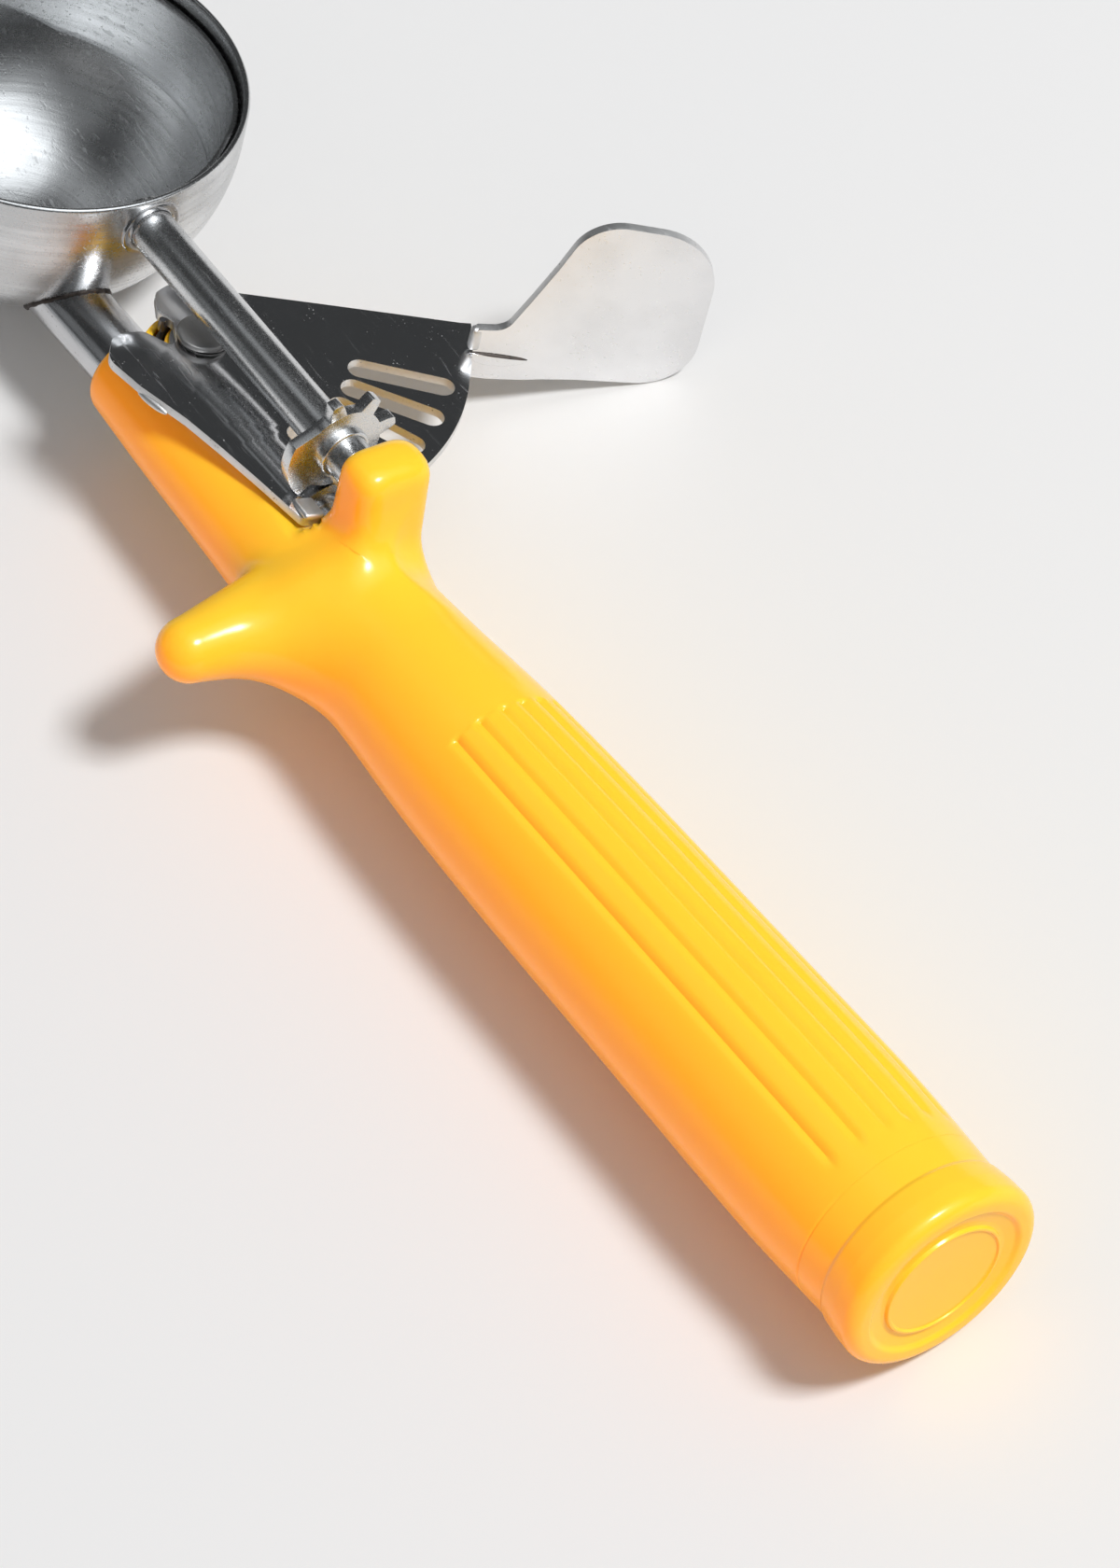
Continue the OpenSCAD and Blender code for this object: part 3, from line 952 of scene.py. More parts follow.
@dataclass
class Bowl:
    """The bowl, its bush and the pin of the blade's front ear."""

    radius: float = BOWL_RADIUS
    wall: float = 0.95
    band: float = 5.2
    steps: int = 160
    bush: float = 3.95
    front: float = 1.53
    lip: float = 0.62

    def shell(self) -> Piece:
        """The round bowl with its straight band and rolled rim edge.

        Returns:
            The piece, laid down.
        """
        r, q, b = self.radius, self.radius - self.wall, self.band
        turn = [math.pi / 2 * i / 40 for i in range(41)]
        outer = [(r * math.sin(a), -b - r * math.cos(a)) for a in turn]
        half = (r - q) / 2
        lip = [(r - half + half * math.cos(a), self.lip * (math.sin(a) ** 0.8 - 1))
               for a in np.linspace(0, math.pi, 17)]
        rim = [(r, -b / 2), *lip, (q, -b / 2)]
        inner = [(q * math.sin(a), -b - q * math.cos(a)) for a in reversed(turn)]
        shell = turned("bowl_shell", outer + rim + inner, self.steps)
        for size, x in ((self.bush, r), (self.front, -r)):
            activate()
            bpy.ops.mesh.primitive_cylinder_add(vertices=48, radius=size, depth=6)
            drill = named("drill")
            drill.data.transform(shaft_frame(x))
            carve(shell, drill)
        return settle(shell, 32)

    def collar(self) -> Piece:
        """The bush in the rear wall, with its flange outside.

        Returns:
            The piece, laid down.
        """
        r, s = self.radius, SHAFT_RADIUS + 0.05
        collar = turned("bush_collar", [
            (s, r - 1.5), (3.7, r - 1.5), (3.92, r - 1.3), (3.92, r - 0.6), (4.5, r - 0.6),
            (4.5, r - 0.1), (4.46, r + 0.08), (4.3, r + 0.16), (3.6, r + 0.18),
            (s + 0.1, r + 0.14), (s, r + 0.05)], 64)
        return settle(collar, 40, shaft_frame())

    def front_pin(self) -> Piece:
        """The riveted pin in the front wall.

        Returns:
            The piece, laid down.
        """
        r = self.radius
        pin = turned("front_rivet", [
            (0, -r - 0.98), (1.1, -r - 0.93), (2.0, -r - 0.72), (2.5, -r - 0.35),
            (2.6, -r + 0.1), (2.6, -r + 0.35), (1.5, -r + 0.35), (1.5, -24.9), (2.2, -24.9),
            (2.3, -24.8), (2.25, -24.55), (1.9, -24.42), (0, -24.38)], 48)
        return settle(pin, 40, shaft_frame())

    def build(self, palette: Palette) -> None:
        """Builds and dresses the bowl's pieces.

        Args:
            palette: the built finishes.
        """
        dress(self.shell(), Finish.BOWL, palette, "frame", Slot.SATIN, "bowl")
        dress(self.collar(), Finish.ROD, palette, "frame", Slot.STEEL, "shaft_bush")
        dress(self.front_pin(), Finish.ROD, palette, "frame", Slot.STEEL, "front_pivot_pin")


@dataclass
class Shank:
    """The rod from the bowl into the handle, and its weld."""

    rod: float = 4.75
    start: float = 16.0
    end: float = 124.9
    bead: float = 0.4
    centre: Vector = Vector((0, 0, SHAFT_Z))

    def bar(self) -> Piece:
        """The rod, hollowed at its end to fit the bowl.

        Returns:
            The piece, laid down.
        """
        bar = turned("shank_bar", [
            (0, self.start), (self.rod, self.start), (self.rod, 60),
            (self.rod, self.end - 0.5), (self.rod - 0.5, self.end), (0, self.end)], 72)
        bar.data.transform(AXIS.matrix())
        fit = Matrix.Translation(self.centre) @ Matrix.Scale(BOWL_RADIUS + 0.02, 4)
        carve(bar, ball("bowl_blank", fit, 160, 80))
        return settle(bar, 32)

    def joint(self, degrees: float) -> Vector:
        """The point of the joint line at an angle around the rod.

        Args:
            degrees: angle around the rod.

        Returns:
            The point.
        """
        low, high = 10.0, 60.0
        for _ in range(40):
            s = (low + high) / 2
            p = AXIS.matrix() @ Vector((*polar(self.rod, degrees), s))
            if (p - self.centre).length < BOWL_RADIUS:
                low = s
            else:
                high = s
        return p

    def weld(self) -> Piece:
        """A thin uneven bead along the joint of rod and bowl.

        Returns:
            The piece, laid down.
        """
        count, sides = 96, 12
        path = [self.joint(360 * i / count) for i in range(count)]

        def place(row: int, column: int) -> Point:
            """The bead's point at a step along the joint and around the bead.

            Args:
                row: step along the joint.
                column: step around the bead.

            Returns:
                The point.
            """
            i = row % count
            ahead = (path[(i + 1) % count] - path[i - 1]).normalized()
            out = (path[i] - self.centre).normalized()
            side = ahead.cross(out).normalized()
            wave = 1 + 0.16 * math.sin(i * 0.9) + 0.1 * math.sin(i * 2.3 + 1)
            u, v = polar(self.bead * wave, 360 * column / sides)
            return path[i] + side * u + out * v

        bead = grid_sheet("weld_bead", count + 1, sides + 1, place)
        tidy_shell(bead, 1e-3)
        return settle(bead, 60)

    def build(self, palette: Palette) -> None:
        """Builds and dresses the rod and the weld.

        Args:
            palette: the built finishes.
        """
        dress(self.bar(), Finish.ROD, palette, "frame", Slot.STEEL, "shank_rod")
        dress(self.weld(), Finish.WELD, palette, "frame", Slot.WELD, "shank_weld")


@dataclass
class GripMoulding:
    """The handle in one moulding: arm, post for the shaft, finger rest and ribbed grip.

    A tube of faces is laid around the handle's axis, the post and the finger rest are extruded
    from it, it is subdivided, and every vertex is then set down on one blended surface.
    """

    stations: tuple = (
        (35.2, 6.75), (42.0, 7.3), (48.0, 7.8), (60.0, 8.5), (72.0, 9.3), (80.0, 10.05),
        (90.0, 10.7), (102.0, 11.3), (114.0, 12.45), (126.0, 13.0), (138.0, 13.4),
        (162.0, 13.85), (186.0, 14.4), (195.0, 14.5), (205.2, 14.1))
    valleys: tuple = (50.0, 66.0, 80.0, 94.0, 111.0, 129.0)
    angles: tuple = (
        8, 22, 36, 46, 50, 54, 58, 62, 66, 70, 76, 80, 84, 90, 94, 98, 102.5, 107, 111, 115,
        120, 125, 129, 133, 145, 157, 171, 187, 203, 218, 233, 248, 263, 278, 293, 308, 323,
        338, 353)
    rows: tuple = (
        35.2, 35.25, 36.4, 38.5, 42, 47, 53, 60, 66, 72, 76.5, 79.7, 83.6, 87.6, 91.5, 96,
        102, 108, 113, 116.5, 118.6, 119.1, 119.6, 120.4, 123, 130, 140, 152, 164, 176, 188,
        196, 199.4, 201.2, 203, 204.3, 205.08, 205.12)
    caps: tuple = (2.6, 5.9, 13.6, 7.0)
    rear: float = 205.12
    depth: float = 0.44
    reach: float = 1.35
    tip: float = 35.2
    rib_from: float = 118.7
    rib_to: float = 202.2
    plain: tuple = (116.0, 204.0)
    post: float = 83.8
    horn: float = 84.2
    level: float = -22.3
    foot: tuple = (79.7, 87.6)
    profile: np.ndarray = field(init=False)
    grid: np.ndarray = field(init=False)

    def __post_init__(self) -> None:
        """Smooths the stations into one flowing profile."""
        self.grid = np.arange(20.0, 220.0, 0.5)
        s, r = np.array(self.stations).T
        first = (r[1] - r[0]) / (s[1] - s[0])
        last = (r[-1] - r[-2]) / (s[-1] - s[-2])
        raw = np.interp(self.grid, s, r)
        raw = np.where(self.grid < s[0], r[0] + first * (self.grid - s[0]), raw)
        raw = np.where(self.grid > s[-1], r[-1] + last * (self.grid - s[-1]), raw)
        kernel = np.exp(-0.5 * (np.arange(-20, 21) / 8.0) ** 2)
        padded = np.pad(raw, 20, mode="reflect", reflect_type="odd")
        self.profile = np.convolve(padded, kernel / kernel.sum(), mode="valid")

    def radius(self, s: np.ndarray) -> np.ndarray:
        """Radius of the plain handle at stations s."""
        return np.interp(s, self.grid, self.profile)

    def on_axis(self, points: np.ndarray) -> tuple:
        """Angle in degrees, radius and station of points about the handle's axis.

        Args:
            points: rows of coordinates.

        Returns:
            The angles, radii and stations.
        """
        local = moved(points, AXIS.matrix().inverted())
        angle = np.degrees(np.arctan2(-local[:, 0], local[:, 1])) % 360
        return angle, np.hypot(local[:, 0], local[:, 1]), local[:, 2]

    def off_axis(self, angle: np.ndarray, r: np.ndarray, s: np.ndarray) -> np.ndarray:
        """Rows of coordinates from angle in degrees, radius and station."""
        a = np.radians(angle)
        return moved(np.stack([-r * np.sin(a), r * np.cos(a), s], axis=1), AXIS.matrix())

    def distance(self, p: np.ndarray) -> np.ndarray:
        """Signed distance to the blended surface, negative inside.

        Args:
            p: rows of coordinates.

        Returns:
            The distance of each row.
        """
        x, y, z = p[:, 0], p[:, 1], p[:, 2]
        _, r, s = self.on_axis(p)
        body = blend_out(r - self.radius(s), self.tip - s, 1.7)
        front, rear, top, bottom, half, lean = 79.35, 87.0, 1.9, -21.0, 5.75, 0.1
        post = blend_out(front - x, (x - rear) * 0.995 + (z - top) * lean, 3.2)
        post = blend_out(post, np.abs(y) - half, 3.4)
        post = blend_out(post, z - top, 3.4)
        post = blend_out(post, bottom - z, 1.0)
        wide, thick, tip, taper = np.hypot(x - 83.85, z + 22.05), 4.5, 27.2, 0.2
        horn = (wide - thick - (tip + y) * taper) * 0.98
        horn = np.where(-y > tip, np.hypot(wide, y + tip) - thick, horn)
        horn = blend_out(horn, 6.0 + y, 1.0)
        fillet = 2.2 + 7.5 * ease((x - 79.0) / 9.0)
        whole = blend_in(blend_in(body, post, 4.6), horn, fillet)
        from_pivot = np.hypot(x - PIVOT_X, y)
        for radius, floor, rounding in ((36.4, -13.75, 0.5), (7.45, -16.95, 0.3)):
            room = np.maximum(from_pivot - radius, floor - z)
            whole = blend_out(whole, -room, rounding)
        return blend_out(whole, s - self.rear, 0.06)

    def cage(self) -> Piece:
        """The rough tube with its two ends closed.

        Returns:
            The tube.
        """
        rows = np.array(self.rows, float)
        radii = self.radius(rows)
        radii[[0, 1, -2, -1]] = self.caps
        columns = len(self.angles)

        def place(row: int, column: int) -> Point:
            """The tube's point at a row and a column."""
            x, y = polar(float(radii[row]), self.angles[column % columns])
            return AXIS.matrix() @ Vector((-y, x, rows[row]))

        cage = grid_sheet("grip_moulding", len(rows), columns + 1, place)
        tidy_shell(cage, 1e-3, close=True)
        return cage

    def pick(self, cage: Piece, angles: tuple) -> None:
        """Selects the cage's faces between two angles at the foot's stations.

        Args:
            cage: the tube.
            angles: the two angles in degrees.
        """
        edit_all(cage)
        bpy.ops.mesh.select_mode(type="FACE")
        bpy.ops.mesh.select_all(action="DESELECT")
        leave_edit()
        centres = np.array([polygon.center[:] for polygon in cage.data.polygons])
        a, _, s = self.on_axis(centres)
        inside = (angles[0] < a) & (a < angles[1]) & (self.foot[0] < s) & (s < self.foot[1])
        for polygon, chosen in zip(cage.data.polygons, inside):
            polygon.select = bool(chosen)

    def on_foot(self, p: Vector, centre: float, half: float) -> tuple:
        """Place within a foot, from -1 to 1 around the axis and along it.

        Args:
            p: the vertex.
            centre: middle angle of the foot in degrees.
            half: half of its width in degrees.

        Returns:
            The place around the axis and along it.
        """
        a, _, s = self.on_axis(np.array([p[:]]))
        return (float(a[0]) - centre) / half, (float(s[0]) - sum(self.foot) / 2) / 3.95

    def raise_post(self, cage: Piece) -> None:
        """Extrudes the post that carries the shaft's rear end.

        Args:
            cage: the tube.
        """
        self.pick(cage, (36, 94))

        def foot(p: Vector) -> Point:
            """Where a vertex of the post's first ring goes."""
            u, v = self.on_foot(p, 65, 29)
            return (self.post + 4.3 * v, -5.9 * u, -10.5)

        extrude_to(cage, foot)
        for z, x, along, across in (
            (-5.5, self.post, 1.0, 0.97), (-0.5, self.post, 0.97, 0.97), (2.6, 83.6, 0.8, 0.8)
        ):
            extrude_to(cage, lambda p: (x + (p.x - self.post) * along, p.y * across, z))

    def raise_horn(self, cage: Piece) -> None:
        """Extrudes the finger rest.

        Args:
            cage: the tube.
        """
        self.pick(cage, (157, 203))
        reach = 7.4

        def foot(p: Vector) -> Point:
            """Where a vertex of the finger rest's first ring goes.

            Args:
                p: the vertex.

            Returns:
                Its new place.
            """
            u, v = self.on_foot(p, 180, 23)
            return (self.horn + reach * v * math.sqrt(1 - u * u / 2), -18.0,
                    self.level - reach * u * math.sqrt(1 - v * v / 2))

        extrude_to(cage, foot)
        for t, scale in ((22.0, 0.8), (26.5, 0.84), (30.3, 0.92), (32.6, 0.6)):
            extrude_to(cage, lambda p: (
                self.horn + (p.x - self.horn) * scale, -t,
                self.level + (p.z - self.level) * scale))

    def ribbed(self, points: np.ndarray) -> np.ndarray:
        """Presses the valleys between the ribs into the grip.

        Args:
            points: rows of coordinates on the plain surface.

        Returns:
            The points with the valleys in.
        """
        angle, r, s = self.on_axis(points)
        snap, least, start, stop, overshoot = 0.55, 11.0, 0.7, 3.0, 0.3
        for valley in self.valleys:
            angle = np.where(np.abs(angle - valley) < snap, valley, angle)
        fade = ease((s - self.rib_from) / start) * ease((self.rib_to - s) / stop)
        past = np.maximum(s - self.rib_from - start, 0)
        fade = fade * (1 + overshoot * np.exp(-past / 0.8))
        sink = np.zeros_like(r)
        for valley in self.valleys:
            across = np.abs(np.radians(angle - valley)) * r / self.reach
            sink = np.maximum(sink, np.clip(1 - across, 0, 1) ** 1.8)
        first, last = self.valleys[0], self.valleys[-1]
        between = np.clip((angle - first) / 6, 0, 1) * np.clip((last - angle) / 6, 0, 1)
        crown = 0.05 * between * (1 - sink)
        active = (fade > 0) & (r > least)
        pressed = self.off_axis(angle, r - (self.depth * sink - crown) * fade, s)
        return np.where(active[:, None], pressed, points)

    def moulding(self) -> Piece:
        """The whole moulding.

        Returns:
            The piece, laid down.
        """
        cage = self.cage()
        self.raise_post(cage)
        self.raise_horn(cage)
        finish_with(cage, "SUBSURF", levels=2, render_levels=2)
        rough = coordinates(cage)
        angle, _, s = self.on_axis(rough)
        points = settle_on(rough, self.distance)
        straight = self.off_axis(angle, self.on_axis(points)[1], s)
        plain = ((s > self.plain[0]) & (s < self.plain[1]))[:, None]
        shaped = self.ribbed(np.where(plain, straight, points))
        cage.data.vertices.foreach_set("co", shaped.reshape(-1))
        cage.data.update()
        return settle(cage, 50)

    def boss(self) -> Piece:
        """The round boss under the lever, with its spring pocket and core.

        Returns:
            The piece, laid down.
        """
        low, floor, top, core = -21.0, -16.9, -14.55, -13.6
        boss = turned("pivot_boss", [
            (0, low), (7.6, low), (8.0, low + 0.4), (8.0, top - 0.5), (7.85, top - 0.12),
            (7.5, top), (7.1, top), (6.9, top - 0.2), (6.9, floor + 0.2), (6.7, floor),
            (5.3, floor), (5.1, floor + 0.2), (5.1, core - 0.3), (4.8, core), (0, core)])
        return settle(boss, 40, pivot_frame())

    def build(self, palette: Palette) -> None:
        """Builds and dresses the moulding and its boss."""
        for piece in (self.moulding(), self.boss()):
            dress(piece, Finish.YELLOW, palette, "frame", Slot.YELLOW, "grip")


@dataclass
class EndCap:
    """The plug cap with its recessed disc."""

    seam: float = 205.2
    ridge: float = 209.5
    end: float = 216.5
    radius: float = 14.85
    plug: float = 10.3

    def build(self, palette: Palette) -> None:
        """Builds and dresses the cap.

        Args:
            palette: the built finishes.
        """
        s, t, e, r, p = self.seam, self.ridge, self.end, self.radius, self.plug
        ahead, behind = GripMoulding().radius(np.array([s - 0.4, t]))
        cap = turned("cap_plug", rounded([
            (0, s - 7), (p, s - 7, 0.5), (p, s - 0.4), (ahead + 0.02, s - 0.4),
            (behind, t - 0.3, 0.5), (behind + 0.36, t + 0.3, 1.0), (r - 0.2, t + 3.0, 5),
            (r, e, 1.9), (11.75, e, 0.8), (11.2, e - 0.5, 0.8), (9.6, e - 0.72, 0.8),
            (9.0, e - 0.7, 0.15), (8.8, e - 0.22, 0.15), (8.45, e - 0.2, 0.12),
            (8.3, e - 0.5, 0.15), (0, e - 0.5)], 8), 128)
        settle(cap, 40, AXIS.matrix())
        dress(cap, Finish.YELLOW, palette, "frame", Slot.YELLOW, "end_cap")


@dataclass
class LeverPivot:
    """The stud with its head and washer, and the return spring."""

    head: float = 3.45
    shank: float = 1.5
    off_axis: tuple = (0.36, -0.85, 0.0)
    coil: float = 6.0
    wire: float = 0.5
    turns: float = 2.17
    low: float = -16.1
    high: float = -13.6
    leg: tuple = (
        (0.18, -0.28, 0.12), (0.32, -0.48, 0.4), (0.42, -0.62, 0.9), (0.42, -0.62, 1.5),
        (0.42, -0.62, 2.16))

    def stud(self) -> Piece:
        """The headed stud.

        Returns:
            The piece, laid down.
        """
        base, bottom = SHEET_TOP + 0.42, -25.4
        stud = turned("pivot_stud", rounded([
            (0, bottom), (self.shank, bottom, 0.2), (self.shank, base), (self.head, base, 0.2),
            (self.head, base + 0.8, 0.36), (self.head - 1.2, base + 0.92, 1.2),
            (0, base + 0.95)], 6), 72)
        return settle(stud, 35, at(*self.off_axis) @ pivot_frame())

    def washer(self) -> Piece:
        """The washer under the head.

        Returns:
            The piece, laid down.
        """
        z = SHEET_TOP + 0.08
        washer = turned("stud_washer", rounded([
            (2.3, z), (3.75, z, 0.08), (3.75, z + 0.28, 0.1), (2.3, z + 0.28)]), 64)
        return settle(washer, 35, pivot_frame())

    def spring(self) -> Piece:
        """The torsion spring, a wire wound around the pivot.

        Returns:
            The piece, laid down.
        """
        steps, sides = 96, 14
        path = [
            Vector((*polar(self.coil, 150 + 360 * self.turns * t),
                    self.low + (self.high - self.low) * t))
            for t in np.linspace(0, 1, steps + 1)
        ]
        path += [path[-1] + Vector(step) for step in self.leg]

        def place(row: int, column: int) -> Point:
            """The wire's point at a step along it and around it.

            Args:
                row: step along the wire.
                column: step around it.

            Returns:
                The point.
            """
            ahead = (path[min(row + 1, len(path) - 1)] - path[max(row - 1, 0)]).normalized()
            side = ahead.cross(Vector((0.4, -0.5, 0.75))).normalized()
            u, v = polar(self.wire, 360 * column / sides)
            return path[row] + side * u + ahead.cross(side) * v

        spring = grid_sheet("spring_coil", len(path), sides + 1, place)
        tidy_shell(spring, 1e-3, close=True)
        return settle(spring, 50, pivot_frame())

    def build(self, palette: Palette) -> None:
        """Builds and dresses the stud, its washer and the spring.

        Args:
            palette: the built finishes.
        """
        dress(self.stud(), Finish.DARK, palette, "frame", Slot.DARK, "pivot_rivet")
        dress(self.washer(), Finish.DARK, palette, "frame", Slot.DARK, "rivet_washer")
        dress(self.spring(), Finish.WIRE, palette, "frame", Slot.WIRE, "return_spring")


@dataclass
class LeverStamping:
    """The lever: slotted gear sector, folded neck and thumb pad from one sheet."""

    sheet: float = 1.3
    sector: float = 35.8
    flare: float = 1.3
    slot_width: float = 3.45
    slot_in: float = 19.4
    slot_out: float = 34.0
    slot_first: float = 3.5
    slot_pitch: float = 11.25
    neck_turn: float = 62.0
    bore: float = 2.55

    def outline(self) -> list:
        """Outline of the flat part about the pivot.

        Returns:
            The outline's points.
        """
        arc = [polar(self.sector + self.flare * max(0.0, (a - 52.0) / 18.0) ** 1.5, a)
               for a in np.linspace(-8, 70, 53)]
        return arc + rounded([
            (12.0, 33.6), (6.7, 25.9), (1.7, 18.6), (-4.0, 10.2), (-10.3, 1.0, 1.5),
            (-9.6, -1.8, 1.5), (-6.2, -3.6, 1.2), (-3.8, -2.6, 1.0), (1.0, -4.75, 1.0),
            (-4.0, -7.4, 2), (-5.0, -11.6, 2.4), (-1.2, -14.6, 3), (5.0, -13.5, 2),
            (12.7, -11.2), (19.3, -9.9), (26.1, -8.75), (30.4, -8.1), (34.9, -7.45, 1.0),
            (35.75, -5.2, 0.6)], 8)

    def slot_loop(self, angle: float) -> list:
        """Outline of one slot.

        Args:
            angle: the slot's angle in degrees.

        Returns:
            The outline's points.
        """
        r = self.slot_width / 2
        points = []
        for middle, start in ((self.slot_in + r, 90), (self.slot_out - r, -90)):
            for a in np.linspace(start, start + 180, 15):
                x, y = polar(r, a)
                points.append((middle + x, y))
        c, s = polar(1.0, angle)
        return [(x * c - y * s, x * s + y * c) for x, y in points]

    def plate(self) -> Piece:
        """The flat part with its slots and bore.

        Returns:
            The piece, laid down.
        """
        bore = [polar(self.bore, a) for a in np.linspace(0, 360, 49)[:-1]]
        slots = [self.slot_loop(self.slot_first + self.slot_pitch * k) for k in range(5)]
        plate = cut_sheet("lever_sector", [self.outline(), bore, *slots],
                          SHEET_BOTTOM, SHEET_TOP)
        soften(plate, 0.16, 3, 50)
        return settle(plate, 30, pivot_frame())

    def pad_frame(self) -> Matrix:
        """Frame of the standing pad: X outwards from the pivot, Y up."""
        return pivot_frame() @ turn_by(self.neck_turn, "Z") @ turn_by(90, "X")

    def pad(self) -> Piece:
        """The standing thumb pad.

        Returns:
            The piece, laid down.
        """
        points = rounded([
            (46.3, -15.65), (50.9, -15.38), (66.5, -15.35, 7.4), (66.8, 10.45, 9.9),
            (48.46, 12.83, 6.5), (45.2, 4.2, 30), (42.6, -1.8, 12), (40.1, -7.25, 2.6),
            (36.1, -7.35, 0.5), (36.3, -12.87), (35.2, -12.87), (35.2, -15.8, 0.6),
            (38.9, -16.1, 8), (43.9, -15.95, 12)], 14)
        pad = cut_sheet("thumb_pad", [points], -self.sheet / 2, self.sheet / 2)
        soften(pad, 0.3, 4, 50)
        return settle(pad, 30, self.pad_frame())

    def fold(self) -> Piece:
        """The pressed fold in the neck, with its sharp upper edge.

        Returns:
            The piece, laid down.
        """
        fold = ball("neck_fold", Matrix.Identity(4), 64, 32)
        for vertex in fold.data.vertices:
            x, y, z = vertex.co
            tall = 0.16 if y > 0 else 1.75
            vertex.co = (x * 4.1, y * tall * (1 - 0.25 * x), z * (0.30 - 0.12 * x))
        fold.data.transform(at(39.9, -11.95, self.sheet / 2 - 0.02) @ turn_by(-6.5, "Z"))
        return settle(fold, 60, self.pad_frame())

    def painted_crease_shadow(self) -> Piece:
        """A dark sliver over the fold, painted shadow in the neck's crease.

        Returns:
            The piece, laid down.
        """
        # The sliver's dark finish paints the shadow that falls in the crease.
        size = Matrix.Diagonal((4.1, 0.2, 0.34, 1))
        place = at(39.9, -11.80, self.sheet / 2) @ turn_by(-6.5, "Z") @ size
        return settle(ball("neck_crease", place), 60, self.pad_frame())

    def bend(self) -> Piece:
        """The rounded bend where the sheet turns up into the pad."""
        place = at(36.35, -9.3, 0.0) @ Matrix.Diagonal((1.7, 3.9, 1.5, 1))
        return settle(block("neck_bend", place, 0.6), 60, self.pad_frame())

    def tabs(self) -> Piece:
        """The raised lip at the rear corner and the lug under the left edge.

        Returns:
            The piece, laid down.
        """
        tipped = turn_by(-9, "Z") @ turn_by(-9, "Y") @ turn_by(-9, "X")
        size = Matrix.Diagonal((4.2, 3.0, 0.9, 1))
        lip = block("lever_tabs", at(33.75, -5.8, SHEET_TOP + 0.2) @ tipped @ size, 0.42)
        size = Matrix.Diagonal((2.7, 0.55, 0.62, 1))
        place = at(7.1, -12.75, SHEET_BOTTOM - 0.1) @ turn_by(13, "Z") @ size
        join(lip, [ball("lug", place, 48, 24)])
        return settle(lip, 40, pivot_frame())

    def rough_edges(self, piece: Piece, palette: Palette, local: Matrix) -> None:
        """Gives the sheet's cut edges their rougher finish.

        Args:
            piece: the laid down piece.
            palette: the built finishes.
            local: its frame, whose Z is across the sheet.
        """
        across = ((LAY.matrix() @ local).to_3x3() @ Vector((0, 0, 1))).normalized()
        piece.data.materials.append(palette[Finish.EDGE])
        for polygon in piece.data.polygons:
            if abs(polygon.normal.dot(across)) < 0.8:
                polygon.material_index = 1

    def build(self, palette: Palette) -> None:
        """Builds and dresses the lever's parts.

        Args:
            palette: the built finishes.
        """
        plate, pad = self.plate(), self.pad()
        for piece, finish in (
            (plate, Finish.PLATE), (pad, Finish.PLATE), (self.tabs(), Finish.EDGE),
            (self.bend(), Finish.EDGE), (self.fold(), Finish.PLATE),
            # The weld's dark finish on this sliver paints the shadow in the crease.
            (self.painted_crease_shadow(), Finish.WELD),
        ):
            dress(piece, finish, palette, "lever", Slot.MIRROR, "lever_plate")
        self.rough_edges(plate, palette, pivot_frame())
        self.rough_edges(pad, palette, self.pad_frame())


